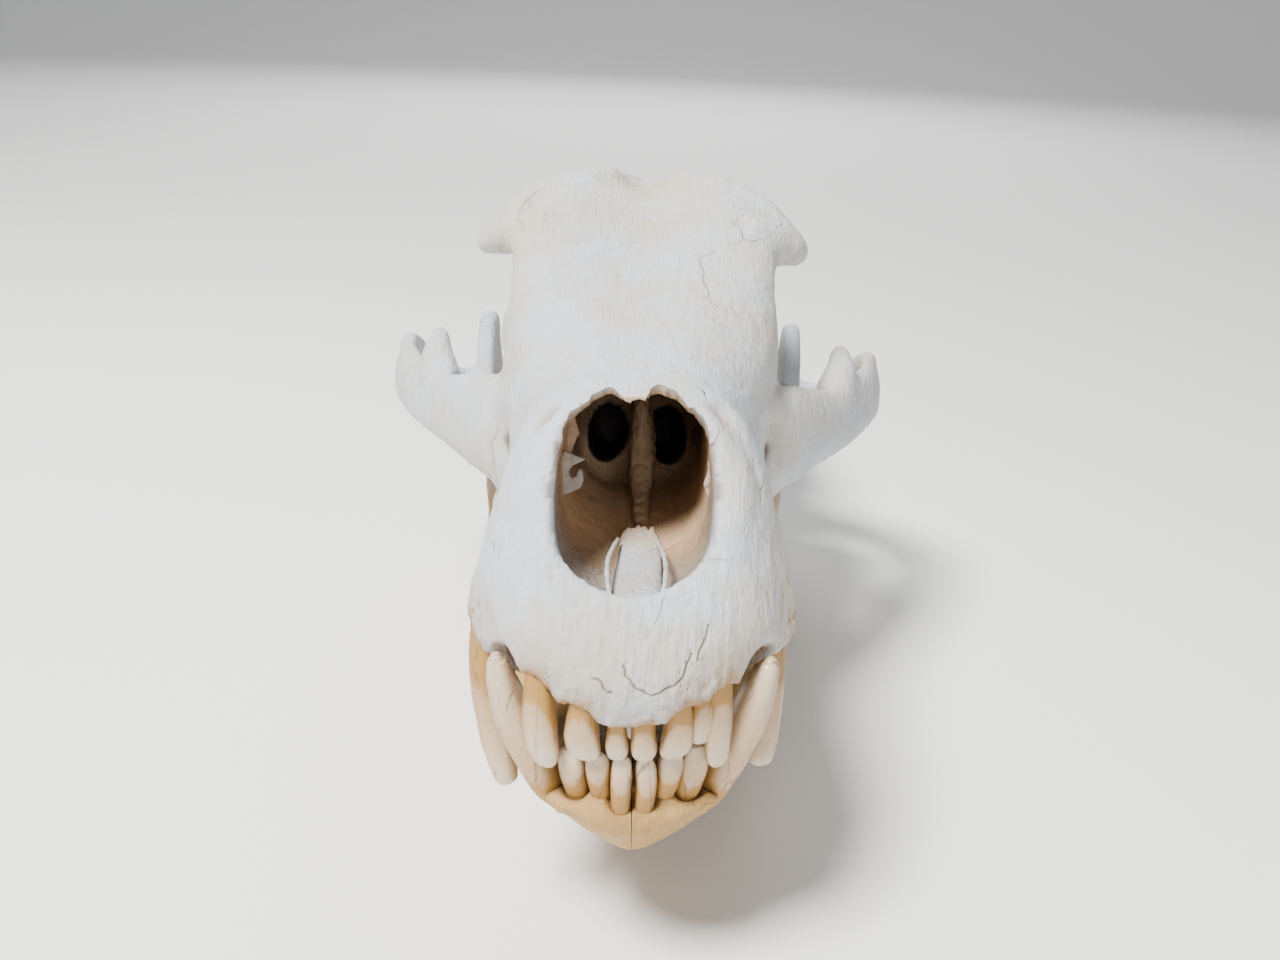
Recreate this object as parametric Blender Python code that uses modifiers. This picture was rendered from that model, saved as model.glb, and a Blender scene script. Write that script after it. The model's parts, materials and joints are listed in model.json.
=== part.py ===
"""Brown bear skull with its lower jaw closed, life size, as it rests on a table.

The bones are worked out in the skull's own frame, in millimetres: x to the side, y from the
front teeth to the back of the head, z up from the lower edge of the jaw, with the tooth rows
level. At the end every piece is tipped a little, as the skull sits on its jaw, and scaled to metres.
"""

import math

import bmesh
import bpy
import numpy as np
from mathutils import Matrix, Vector

MM = 0.001
GAP = 0.3

# The skull sits on the lower edge of the jaw at these two places, (y, z), and is worn flat there
# by so much.
SEAT_FRONT = (120.0, 0.3)
SEAT_REAR = (204.0, 7.0)
SEAT_FLAT = 0.9
SEAT_SHIFT = -179.7   # brings the middle of the skull's length over the origin

# The muzzle is a little twisted on the skull, so the teeth don't lie level with the brow:
# (y, degrees about y).
TWIST = ((-1, -2.15), (30, -2.15), (75, -1.2), (112, 0), (345, 0))
TWIST_AXIS = 95.0

# How the bones are made smooth: pieces that overlap are fused on a grid, then eased.
CRANIUM_GRID = 2.0
JAW_GRID = 1.6
EASE_PASSES = 5
EASE_FACTOR = 0.5
CRANIUM_FACES = 5400
JAW_FACES = 1350

# Rails of the cranium, each a line along its right side: (y, x, z), or (y, z) on the middle plane.
ROOF = ((-1, 90), (5, 98), (12, 105), (30, 125), (48, 144), (75, 149), (105, 156.5), (135, 171),
        (160, 186.5), (180, 192), (215, 190), (262, 185), (305, 178.5), (328, 171.5), (337, 163))
CROWN = ((-1, 7, 89), (5, 15, 96), (15, 23, 106), (30, 26, 121), (48, 22, 141), (75, 19, 147),
         (105, 23, 155.5), (135, 31, 173), (160, 28, 191), (180, 21, 195.5), (205, 11, 189),
         (240, 5.5, 176), (285, 5.5, 168), (320, 12, 164), (337, 9, 156))
BROW = ((-1, 10, 86), (5, 21, 91), (15, 31, 99), (30, 36, 110), (48, 34, 129), (75, 32, 134),
        (105, 39, 144), (135, 44.5, 165), (158, 47, 177), (178, 39, 184), (205, 28, 172), (240, 32, 163),
        (285, 38, 154), (308, 40, 150), (326, 36, 146), (337, 20, 143))
WALL = ((-1, 9, 83), (5, 22, 85), (15, 33, 91), (30, 39.5, 98), (48, 38.5, 108), (75, 37, 112),
        (105, 42, 118), (128, 45.5, 137), (150, 31, 150), (178, 29, 150), (205, 36, 148), (240, 49, 143),
        (275, 54, 134), (305, 60, 128), (316, 56, 128), (327, 41, 132), (337, 26, 132))
BASE = ((-1, 8, 78.5), (5, 19, 80.5), (15, 30, 86), (30, 40.5, 88), (48, 38.5, 88), (75, 36.5, 86),
        (105, 41, 84), (135, 43, 85), (158, 37, 88), (178, 25, 97), (205, 25, 104), (240, 36, 108),
        (275, 46, 102), (300, 57, 100), (314, 51, 100), (326, 34, 102), (337, 22, 108))
FLOOR = ((-1, 77), (4, 75), (14, 80), (28, 86), (48, 89), (105, 90), (160, 90), (185, 93),
         (240, 97), (300, 96), (326, 100), (337, 106))
SECTION_POINTS = 44
SECTION_STEPS = 12   # of the curve between two rails
CORE_STATIONS = (-1, 2, 5, 10, 15, 22, 30, 39, 48, 60, 75, 90, 105, 120, 135, 147, 158, 168, 178, 190,
                 205, 222, 240, 258, 275, 290, 305, 314, 322, 329, 337)

# The zygomatic arch: (x, y, z of its middle, half its thickness, half its height). It leans, lower
# edge out.
ARCH = ((38, 112, 111, 9, 16), (50, 124, 114, 8.5, 18), (61, 137, 113.5, 7, 16.5),
        (74.5, 153, 113, 5.4, 12), (87, 174, 115.5, 4.4, 11.5), (94, 194, 117, 4.2, 11.5),
        (95.5, 216, 112, 4.2, 11), (92, 238, 101.5, 5, 9.5), (83, 254, 95.5, 8, 7),
        (68, 260, 93, 11, 7), (46, 264, 98, 12, 10))
ARCH_LEAN = 0.2
ARCH_SQUARENESS = 2.4
ARCH_SIDES = 18

# The arch is parted from the cranium along a prism with this plan, (x, y), between two levels.
ARCH_ROOM = ((48, 149), (76, 125), (130, 150), (130, 284), (102, 272), (78, 236), (77, 205),
             (66, 172))
ARCH_ROOM_LEVELS = (70.0, 162.0)

# What stands out on each side of the cranium, as paths of (x, y, z, radius). A limb's end reaches
# past its last point by a share of the radius, and is drawn in there.
LIMB_SIDES = 14
LIMB_END_REACH = 0.6
LIMB_END_SIZE = 0.55
STEEP = 0.9
SIDE_LIMBS = (
    ("jugal_point", ((73, 158, 121, 8), (76, 167, 129, 6), (76, 174, 135.5, 3.6))),
    ("temporal_step", ((94.5, 222, 118, 4.5), (94.5, 208, 123.5, 4.5), (92.5, 196, 127, 3))),
    ("temporal_line", ((46, 162, 178, 3.5), (34, 174, 186, 4), (18, 192, 191, 4.5), (5, 214, 190, 4))),
    ("brow_slope", ((12, 178, 192, 6.5), (24, 172, 191.5, 6), (34, 168, 189, 5.5), (43, 163, 184.8, 5),
                    (50, 159, 178.5, 4.5))),
    ("canine_root", ((35, 32, 93, 8), (33, 46, 108, 8), (29, 62, 122, 6))),
    ("canine_collar", ((35.2, 40, 98, 7.8), (35.6, 37, 90, 8.2), (35.9, 34.4, 82.5, 8))),
    ("diastema", ((23.5, 17, 86, 5), (26.5, 25, 82.5, 5.5), (30, 32, 82, 6))),
    ("aperture_rim", ((22, 19, 105, 4), (26, 31, 117, 4.5), (27, 45, 130, 4.5), (25.5, 57, 139, 3.5))),
    ("nuchal_crest", ((2, 336, 169, 4.5), (22, 332, 159, 4.5), (41, 325, 143, 4.5), (56, 314, 125, 6),
                      (61, 304, 110, 9))),
    ("mastoid", ((54, 298, 118, 14), (57, 302, 104, 13), (58, 305, 93, 8))),
    ("paroccipital", ((42, 308, 104, 12), (46, 315, 95, 9), (47, 319, 89, 5))),
    ("condyle_base", ((34, 312, 108, 10), (16, 322, 104, 10))),
    ("temporal_root", ((42, 266, 102, 14), (60, 261, 97, 11), (78, 257, 95, 7.5))),
    ("postglenoid", ((46, 255, 88, 5), (62, 254.5, 86, 5), (76, 253, 89, 4))),
    ("tooth_ridge", ((36, 84, 86, 6), (39, 105, 86, 8), (41, 130, 86, 9), (38, 158, 86, 8.5),
                     (33, 172, 88, 6))),
)
POSTORBITAL = ((34, 152, 176, 10), (46, 156, 175.5, 8), (53, 158, 173, 6.2), (57, 158.5, 170.6, 4.6))
POSTORBITAL_CUT_SHORT = {-1: 0.0, 1: 4.0}   # the left one has lost its tip

# Rounded masses on each side: name, middle, radii, tilt about x.
BALL_SEGMENTS = (16, 10)
SIDE_MASSES = (
    ("condyle", (18, 333, 112), (12, 12, 14), -0.4),
    ("bulla", (31, 282, 100), (19, 22, 8), 0.0),
    ("glenoid", (62, 259, 96), (21, 12, 8), 0.0),
)
PTERYGOID = ((172, 96), (176, 86), (198, 83), (214, 84), (222, 98))
PTERYGOID_PLACE = (13.0, 2.2)   # x of its middle and half its thickness

# Aperture and cavity of the nose: (y, half width, floor, ceiling, squareness above and below).
NOSE = ((9, 7, 108, 118, 2.4, 2.0), (14, 13, 105, 124, 2.6, 2.0), (20, 17.8, 102.5, 130, 2.9, 2.2),
        (30, 20.4, 99, 137, 3.2, 2.4), (42, 20.8, 98, 142.5, 3.2, 2.8), (60, 20.6, 98, 144.5, 2.5, 3.0),
        (85, 21, 97, 147, 2.2, 3.0), (112, 21, 96, 150.5, 2.2, 3.0), (132, 19.5, 95, 152, 2.2, 3.0),
        (140, 15, 98, 146, 2.2, 2.6))
NOSE_RINGS = 16
NOSE_SIDES = 22
NASAL_NOTCH = ((2.6, 40), (2.6, 51), (5.3, 59.5), (9, 62.5), (14, 59), (18, 52), (19, 40))
NASAL_NOTCH_LEVELS = (132.0, 160.0)
PASSAGE_FRONT = (11.0, 133.0, 106.0)
PASSAGE_BACK = (10.0, 162.0, 106.0)
PASSAGE_RADII = (6.0, 7.5)
PASSAGE_SIDES = 12

# Openings made as rings: (x, y, z of the middle, half width, half height or depth, lean of the
# ring's upright).
INFRAORBITAL = ((47, 92, 115, 3.2, 4.6), (38, 112, 119, 2.6, 4.2))
INFRAORBITAL_TURN = 0.3
CHOANA = ((186, 84, 9.5, 6, 0.2), (196, 98, 9.5, 12, 0.2), (216, 82, 9.5, 12, -0.6))
SPINE_HOLE = ((350, 122, 15, 12.5), (322, 124, 13, 11), (306, 125, 8, 7))
CANINE_ROOM = ((35.8, 15.5, 84.5), (10, 8, 11), -0.25)   # for the lower canine's tip: middle, radii, tilt

# Septum in the side view, (y, z), a blade on the middle plane rooted in floor, roof and back wall.
SEPTUM = ((58, 94), (60, 104), (84, 105), (97, 108), (99, 119), (112, 122), (124, 127), (131, 156),
          (152, 156), (152, 92))
SEPTUM_THICKNESS = 2.4
NOSE_PLATE = ((15, 7, 103.8, 3.2), (24, 7.5, 104.2, 3.2), (40, 6.5, 104.4, 3.2), (60, 4.5, 104.0, 3.2))
NOSE_PLATE_SQUARENESS = 3.0
NOSE_PLATE_SIDES = 12

# Lower jaw, left half: (y, then x, z and half thickness low down, and the same at the upper edge).
JAW_BODY = ((2.5, 0.5, 42.5, 6, 5, 49, 9.5), (8, 0, 37.5, 6, 10, 51, 14.5),
            (16, 0, 28, 7, 11, 50.5, 18), (28, 0, 20.5, 8.5, 13, 50, 18.5),
            (42, 1, 13.5, 10, 17, 49.5, 17.5), (58, 6, 11, 10, 22.5, 48.5, 15),
            (72, 16, 8.5, 10, 28.5, 49.5, 12), (86, 27, 5, 8.5, 32.5, 51, 10.5),
            (100, 34, 1.5, 8, 36, 53, 9.5), (130, 42, 0, 8.5, 42, 56, 9.5),
            (160, 50, 2, 8, 48, 58, 9.5), (185, 55, 6, 7, 52, 70, 7), (206, 58, 11, 6, 55, 74, 6.5),
            (222, 59.5, 20, 5, 58, 72, 6))
JAW_SQUARENESS = (4.0, 2.3)   # of a section's upper and lower half
JAW_SIDES = 20
JAW_STATIONS = (2.5, 5, 10, 16, 22, 28, 35, 42, 50, 58, 66, 75, 87, 100, 115, 130, 145, 160, 173,
                185, 196, 206, 214, 222)
CORONOID = ((168, 44), (173, 66), (181, 90), (191, 112), (201, 129), (212, 136.5), (221, 134), (223, 118),
            (220, 98), (226, 84), (222, 60), (205, 44))
CORONOID_LEAN = ((44, 51.5, 11), (58, 52, 10.5), (72, 53.5, 9.5), (90, 57.8, 8.2), (110, 62, 7.0),
                 (140, 63.4, 7.2))
CONDYLE = (66.0, 236.0, 79.0)
CONDYLE_RADII = (19.0, 8.0, 8.0)
CONDYLE_NECK = ((57, 204, 62, 12), (60.5, 220, 67, 11.5), (64, 231, 75, 9))
ANGLE_PROCESS = ((55, 184, 20, 9), (56.5, 203, 17, 10.5), (56.5, 214, 21, 10), (56, 223, 27, 8.5),
                 (56, 229, 33, 6))
CANINE_SOCKET = ((12, 25, 38, 7), (17, 19.5, 44.5, 7.8), (21.2, 16.6, 49.2, 7.6))
MASSETER_HOLLOW = ((69.0, 203.0, 68.0), (10.5, 24.0, 38.0))
SYMPHYSIS = GAP / 2
SLICE_BLOCK = 900.0

# Incisors: alveolus, tip, width at the widest, turn outwards in degrees. The crown's rings are (share
# of the way to the tip, share of the width, share of the depth), and the root's end has the two
# shares below.
UPPER_INCISORS = (((3.9, 3.8, 78), (3.7, 1.6, 66.7), 5.4, 4),
                  ((12.4, 6.0, 80), (10.9, 3.5, 66.1), 7.8, 14),
                  ((22.6, 10.4, 83), (20.6, 6.6, 62.2), 8.4, 28))
LOWER_INCISORS = (((3.5, 6.5, 49), (3.4, 3.6, 64.9), 4.8, 4),
                  ((8.2, 8.2, 52), (8.9, 5.6, 64.6), 5.4, 10),
                  ((13.6, 11.5, 51), (15.6, 8.2, 65.3), 6.8, 20))
INCISOR_DEPTH = 0.85
INCISOR_ROOT = 7.0
INCISOR_ROOT_SHARES = (0.7, 0.9)
INCISOR_SQUARENESS = 2.5
INCISOR_SIDES = 10
INCISOR_CROWN = ((0, 0.8, 1.0), (0.35, 0.95, 1.0), (0.7, 1.0, 0.75), (0.93, 0.94, 0.42), (1.0, 0.8, 0.24))

# Canines: (x, y, z of the middle, half width, half length), from the root to the tip.
UPPER_CANINE = ((35, 39, 98, 5.6, 8), (36.6, 34.5, 88, 6.2, 8.2), (37, 31.6, 78, 6.0, 7.5),
                (36.9, 29.6, 68, 5.3, 6.5), (36.4, 27, 58, 4.4, 5.2), (35.9, 24.8, 50, 3.4, 3.9),
                (35.6, 24.4, 47.4, 2.4, 2.8))
CANINE_TIP_DROP = {-1: 2.5, 1: -4.5}   # how much longer the right canine is than stated, and the left
CANINE_SIDES = 14
LOWER_CANINE = ((18, 22, 40, 3.8, 4.5), (20.8, 18, 45, 4.0, 5.0), (22.9, 15.4, 51, 4.2, 5.4),
                (26.4, 15.2, 60, 5.0, 5.9), (30.1, 15.8, 70, 5.1, 5.6), (33, 15.9, 79, 4.1, 4.6),
                (34.6, 15.7, 85, 2.6, 3.0), (34.8, 15.5, 86.8, 1.6, 1.8))

# Cheek teeth: (name, front y, back y, x of the middle, half width, cusps along each side, z of the
# crown's edge).
UPPER_CHEEK = (("P1", 47, 52, 35, 2.6, 1, 77), ("P3", 86, 91, 36, 2.7, 1, 77),
               ("P4", 94.5, 108, 36.5, 5.8, 2, 69), ("M1", 108.6, 130, 39.5, 7.8, 3, 68.5),
               ("M2", 130.6, 168, 40, 8.6, 4, 69.5))
LOWER_CHEEK = (("p4", 92, 104, 33, 3.8, 1, 62), ("m1", 104.6, 128, 35.5, 5.2, 3, 64.5),
               ("m2", 128.6, 154, 39.5, 6.6, 3, 64), ("m3", 154.6, 172, 44.5, 5.8, 2, 63.5))
UPPER_NECK = 79.0
LOWER_NECK = 56.5
CHEEK_ROOT = 7.0
CUSP_RISE = 3.0
CHEEK_SQUARENESS = 2.8
CHEEK_SIDES = 14
CHEEK_SHARES = (0.8, 0.86, 1.0, 0.78, 0.36)   # of the full width at root, neck, waist, cusps and basin

SHARP_EDGE = math.radians(40)


def clear_scene():
    for obj in list(bpy.data.objects):
        bpy.data.objects.remove(obj)


def collection(name):
    made = bpy.data.collections.new(name)
    bpy.context.scene.collection.children.link(made)
    return made


def bone_material(name, rgb, roughness):
    made = bpy.data.materials.new(name)
    made.use_nodes = True
    shader = made.node_tree.nodes["Principled BSDF"]
    shader.inputs["Base Color"].default_value = (*rgb, 1)
    shader.inputs["Roughness"].default_value = roughness
    shader.inputs["Metallic"].default_value = 0
    return made


def add_object(name, shape, where):
    """A mesh object of a finished bmesh, in the given collection."""
    bmesh.ops.recalc_face_normals(shape, faces=shape.faces)
    mesh = bpy.data.meshes.new(name)
    shape.to_mesh(mesh)
    shape.free()
    obj = bpy.data.objects.new(name, mesh)
    where.objects.link(obj)
    return obj


def along(rail, y):
    """What a rail's line holds at y: a smooth curve through its points."""
    knots = np.array(rail, float)
    at, values = knots[:, 0], knots[:, 1:]
    slopes = np.gradient(values, at, axis=0)
    i = int(np.clip(np.searchsorted(at, y) - 1, 0, len(at) - 2))
    span = at[i + 1] - at[i]
    t = (y - at[i]) / span
    return (
        values[i] * (1 + 2 * t) * (1 - t) ** 2
        + slopes[i] * span * t * (1 - t) ** 2
        + values[i + 1] * t * t * (3 - 2 * t)
        + slopes[i + 1] * span * t * t * (t - 1)
    )


def smooth_half(points, count):
    """Evenly spaced points on a smooth curve from the first point to the last, both on the middle plane."""
    points = np.array(points, float)
    mirrored = points[1:-1][::-1] * (-1, 1)
    ring = np.concatenate([points, mirrored])
    dense = []
    for i in range(len(points) - 1):
        before, start, end, after = (ring[(i + k) % len(ring)] for k in (-1, 0, 1, 2))
        for t in np.linspace(0, 1, SECTION_STEPS, endpoint=False):
            dense.append(
                0.5
                * (
                    2 * start
                    + (end - before) * t
                    + (2 * before - 5 * start + 4 * end - after) * t**2
                    + (3 * start - before - 3 * end + after) * t**3
                )
            )
    dense = np.array([*dense, points[-1]])
    length = np.concatenate([[0], np.cumsum(np.linalg.norm(np.diff(dense, axis=0), axis=1))])
    wanted = np.linspace(0, length[-1], count)
    return np.stack([np.interp(wanted, length, dense[:, k]) for k in (0, 1)], axis=1)


def loft(name, rings, where):
    """A closed body through rings of as many points each, with its two ends capped."""
    shape = bmesh.new()
    loops = []
    for ring in rings:
        verts = [shape.verts.new(p) for p in ring]
        loops.append([shape.edges.new((verts[i - 1], verts[i])) for i in range(len(verts))])
    for first, second in zip(loops, loops[1:]):
        bmesh.ops.bridge_loops(shape, edges=first + second)
    bmesh.ops.holes_fill(shape, edges=loops[0] + loops[-1])
    return add_object(name, shape, where)


def oval(centre, across, up, half_width, half_height, power=2.0, count=16):
    """A ring of points in the plane of two directions: an ellipse at power 2, and squarer above it."""
    centre, across, up = Vector(centre), Vector(across).normalized(), Vector(up).normalized()
    ring = []
    for i in range(count):
        turn = 2 * math.pi * i / count
        c, s = math.cos(turn), math.sin(turn)
        ring.append(
            centre
            + across * (half_width * math.copysign(abs(c) ** (2 / power), c))
            + up * (half_height * math.copysign(abs(s) ** (2 / power), s))
        )
    return ring


def two_part_oval(centre, half_width, half_height, above, below, count):
    """An upright ring whose upper and lower half differ in squareness."""
    upper, lower = (oval(centre, (1, 0, 0), (0, 0, 1), half_width, half_height, power, count)
                    for power in (above, below))
    return [high if high.z > centre[2] else low for high, low in zip(upper, lower)]


def limb(name, knots, where):
    """A round body along a path of (x, y, z, radius), with its ends drawn in."""
    path = [Vector(k[:3]) for k in knots]
    rings = []
    for i, knot in enumerate(knots):
        ahead = (path[min(i + 1, len(path) - 1)] - path[max(i - 1, 0)]).normalized()
        across = ahead.orthogonal() if abs(ahead.z) > STEEP else ahead.cross(Vector((0, 0, 1)))
        up = across.cross(ahead)
        rings.append(oval(path[i], across, up, knot[3], knot[3], count=LIMB_SIDES))
    for end, inner in ((0, 1), (-1, -2)):
        out = (path[end] - path[inner]).normalized() * knots[end][3] * LIMB_END_REACH
        cap = [path[end] + out + (p - path[end]) * LIMB_END_SIZE for p in rings[end]]
        rings.insert(0 if end == 0 else len(rings), cap)
    return loft(name, rings, where)


def ellipsoid(name, centre, radii, where, tilt=0.0):
    shape = bmesh.new()
    bmesh.ops.create_uvsphere(shape, u_segments=BALL_SEGMENTS[0], v_segments=BALL_SEGMENTS[1], radius=1)
    place = Matrix.Translation(centre) @ Matrix.Rotation(tilt, 4, "X") @ Matrix.Diagonal((*radii, 1))
    bmesh.ops.transform(shape, matrix=place, verts=shape.verts)
    return add_object(name, shape, where)


def slab(name, outline, place, where):
    """A closed plate between two copies of a flat outline. place(point, face) sets each on face -1 or 1."""
    return loft(name, [[place(p, face) for p in outline] for face in (-1, 1)], where)


def half_section(y):
    """Points from the roof round the right side to the floor of the cranium at y."""
    roof, floor = along(ROOF, y)[0], along(FLOOR, y)[0]
    sides = [along(rail, y) for rail in (CROWN, BROW, WALL, BASE)]
    return smooth_half([(0, roof), *sides, (0, floor)], SECTION_POINTS // 2 + 1)


def cranium_core(where):
    rings = []
    for y in CORE_STATIONS:
        half = half_section(y)
        ring = [(x, y, z) for x, z in half] + [(-x, y, z) for x, z in half[-2:0:-1]]
        rings.append(ring)
    return loft("core", rings, where)


def arch_piece(side, where):
    """The zygomatic arch as one bent bar."""
    path = [Vector((side * k[0], k[1], k[2])) for k in ARCH]
    rings = []
    for i, knot in enumerate(ARCH):
        ahead = path[min(i + 1, len(path) - 1)] - path[max(i - 1, 0)]
        ahead.z = 0
        across = ahead.cross(Vector((0, 0, 1)))
        up = (-side * ARCH_LEAN, 0, 1)
        rings.append(oval(path[i], across, up, knot[3], knot[4], ARCH_SQUARENESS, ARCH_SIDES))
    loft("arch", rings, where)


def side_pieces(side, where):
    """The processes, crests, ridges and rounded masses of one side of the cranium."""
    tip = Vector(POSTORBITAL[-1]) - Vector((POSTORBITAL_CUT_SHORT[side], 0, 0, 0))
    for name, knots in (*SIDE_LIMBS, ("postorbital", (*POSTORBITAL[:-1], tip))):
        limb(name, [(side * k[0], *k[1:]) for k in knots], where)
    for name, middle, radii, tilt in SIDE_MASSES:
        ellipsoid(name, (side * middle[0], *middle[1:]), radii, where, tilt)
    x, half_thick = PTERYGOID_PLACE
    slab("pterygoid", PTERYGOID, lambda p, face: (side * (x + half_thick * face), p[0], p[1]), where)


def fused(name, pieces, grid, passes, where):
    """The pieces of a collection as one closed body: laid on a grid, eased, and made a plain mesh."""
    objects = list(pieces.objects)
    with bpy.context.temp_override(active_object=objects[0], selected_editable_objects=objects):
        bpy.ops.object.join()
    body = objects[0]
    remesh = body.modifiers.new("grid", "REMESH")
    remesh.mode = "VOXEL"
    remesh.voxel_size = grid
    ease = body.modifiers.new("ease", "SMOOTH")
    ease.factor = EASE_FACTOR
    ease.iterations = passes
    made = baked(name, body, where)
    bpy.data.objects.remove(body)
    bpy.data.collections.remove(pieces)
    return made


def baked(name, obj, where):
    """A new object that holds what an object and its modifiers make."""
    bpy.context.view_layer.update()
    mesh = bpy.data.meshes.new_from_object(obj.evaluated_get(bpy.context.evaluated_depsgraph_get()))
    made = bpy.data.objects.new(name, mesh)
    where.objects.link(made)
    return made


def thinned(obj, faces, where):
    """The same body with about as many triangles as asked, alike on both sides."""
    triangles = sum(len(p.vertices) - 2 for p in obj.data.polygons)
    thin = obj.modifiers.new("thin", "DECIMATE")
    thin.ratio = min(1.0, faces / triangles)
    made = baked(obj.name + "_thin", obj, where)
    bpy.data.objects.remove(obj)
    return made


def combined(obj, others, operation, where, solver="EXACT"):
    """The object joined with, or cut by, all that a collection holds, whose objects are then removed."""
    join = obj.modifiers.new("combine", "BOOLEAN")
    join.operation = operation
    join.solver = solver
    join.operand_type = "COLLECTION"
    join.collection = others
    name = obj.name
    obj.name = name + "_before"
    made = baked(name, obj, where)
    bpy.data.objects.remove(obj)
    for other in list(others.objects):
        bpy.data.objects.remove(other)
    bpy.data.collections.remove(others)
    return made


def keep_largest(obj):
    """Drops loose scraps and sealed hollows: only the closed surface with the most faces stays."""
    shape = bmesh.new()
    shape.from_mesh(obj.data)
    unseen = set(shape.verts)
    groups = []
    while unseen:
        front, group = [unseen.pop()], []
        while front:
            vert = front.pop()
            group.append(vert)
            for edge in vert.link_edges:
                other = edge.other_vert(vert)
                if other in unseen:
                    unseen.remove(other)
                    front.append(other)
        groups.append(group)
    groups.sort(key=len)
    for group in groups[:-1]:
        bmesh.ops.delete(shape, geom=group, context="VERTS")
    shape.to_mesh(obj.data)
    shape.free()


def nose_cutters(where):
    """The cavity of the nose, the notched edge of the nasal bones and the two passages behind."""
    rings = []
    first, last = NOSE[0][0], NOSE[-1][0]
    for y in np.linspace(first, last, NOSE_RINGS):
        half_width, low, high, above, below = along(NOSE, y)
        middle, half_height = (0, y, (low + high) / 2), (high - low) / 2
        rings.append(two_part_oval(middle, half_width, half_height, above, below, NOSE_SIDES))
    loft("nose", rings, where)
    low, high = NASAL_NOTCH_LEVELS
    for side in (-1, 1):
        slab("notch", NASAL_NOTCH, lambda p, face: (side * p[0], p[1], high if face > 0 else low), where)
        front = (side * PASSAGE_FRONT[0], *PASSAGE_FRONT[1:])
        back = (side * PASSAGE_BACK[0], *PASSAGE_BACK[1:])
        ends = [oval(end, (1, 0, 0), (0, 0, 1), *PASSAGE_RADII, count=PASSAGE_SIDES) for end in (front, back)]
        loft("passage", ends, where)


def other_cutters(where):
    """The infraorbital holes, the rooms for the lower canines, the choana and the hole for the spine."""
    for side in (-1, 1):
        across = (1, side * INFRAORBITAL_TURN, 0)
        loft("infraorbital", [oval((side * x, y, z), across, (0, 0, 1), wide, high, count=10)
                              for x, y, z, wide, high in INFRAORBITAL], where)
        middle, radii, tilt = CANINE_ROOM
        ellipsoid("canine_room", (side * middle[0], *middle[1:]), radii, where, tilt)
    loft("choana", [oval((0, y, z), (1, 0, 0), (0, 1, lean), wide, deep, 3, 16)
                    for y, z, wide, deep, lean in CHOANA], where)
    loft("spine_hole", [oval((0, y, z), (1, 0, 0), (0, 0, 1), wide, high, count=16)
                        for y, z, wide, high in SPINE_HOLE], where)


def septum_pieces(where):
    """The blade that parts the nose, and the low plate in front of it."""
    slab("septum", SEPTUM, lambda p, face: (face * SEPTUM_THICKNESS / 2, p[0], p[1]), where)
    loft("nose_plate", [oval((0, y, z - half), (1, 0, 0), (0, 0, 1), wide, half, NOSE_PLATE_SQUARENESS,
                             NOSE_PLATE_SIDES) for y, wide, z, half in NOSE_PLATE], where)


def incisor(name, alveolus, tip, width, turn, side, where):
    """A chisel crown on a narrower neck, whose root sinks into the bone."""
    base, edge = (Vector((side * p[0], p[1], p[2])) for p in (alveolus, tip))
    axis = (edge - base).normalized()
    across = Vector((math.cos(math.radians(turn)), side * math.sin(math.radians(turn)), 0))
    front = across.cross(axis)
    root = -INCISOR_ROOT / (edge - base).length
    rings = []
    for share, wide, deep in ((root, *INCISOR_ROOT_SHARES), *INCISOR_CROWN):
        half_wide, half_deep = width * wide / 2, width * deep * INCISOR_DEPTH / 2
        middle = base.lerp(edge, share)
        rings.append(oval(middle, across, front, half_wide, half_deep, INCISOR_SQUARENESS, INCISOR_SIDES))
    loft(name, rings, where)


def canine(name, knots, side, where):
    path = [Vector((side * k[0], k[1], k[2])) for k in knots]
    rings = []
    for i, knot in enumerate(knots):
        ahead = (path[min(i + 1, len(path) - 1)] - path[max(i - 1, 0)]).normalized()
        length = ahead.cross(Vector((1, 0, 0)))
        rings.append(oval(path[i], length.cross(ahead), length, knot[3], knot[4], count=CANINE_SIDES))
    loft(name, rings, where)


def cheek_tooth(name, front, back, x, half_width, cusps, edge, neck, side, where):
    """A low crown with a ring of cusps round a basin. Its edge lies above its neck only in the lower jaw."""
    up = math.copysign(1, edge - neck)
    middle, half_length = (front + back) / 2, (back - front) / 2
    waist, basin = (neck + edge) / 2, edge - up * CUSP_RISE
    rings = []
    levels = (neck - up * CHEEK_ROOT, neck, waist, basin, basin)
    for share, z, rise in zip(CHEEK_SHARES, levels, (0, 0, 0, CUSP_RISE, 0)):
        wide, long = half_width * share, half_length * share
        ring = oval((side * x, middle, z), (1, 0, 0), (0, 1, 0), wide, long, CHEEK_SQUARENESS, CHEEK_SIDES)
        for i, point in enumerate(ring):
            point.z += up * rise * (0.5 - 0.5 * math.cos(4 * math.pi * cusps * i / CHEEK_SIDES))
        rings.append(ring)
    loft(name, rings, where)


def upper_teeth(where):
    for side in (-1, 1):
        for i, (alveolus, tip, width, turn) in enumerate(UPPER_INCISORS):
            incisor(f"I{i + 1}", alveolus, tip, width, turn, side, where)
        tip = [(x, y, z - CANINE_TIP_DROP[side], wide, deep) for x, y, z, wide, deep in UPPER_CANINE[-2:]]
        canine("C", [*UPPER_CANINE[:-2], *tip], side, where)
        for row in UPPER_CHEEK:
            cheek_tooth(*row, UPPER_NECK, side, where)


def lower_teeth(where):
    for i, (alveolus, tip, width, turn) in enumerate(LOWER_INCISORS):
        incisor(f"i{i + 1}", alveolus, tip, width, turn, 1, where)
    canine("c", LOWER_CANINE, 1, where)
    for row in LOWER_CHEEK:
        cheek_tooth(*row, LOWER_NECK, 1, where)


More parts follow.
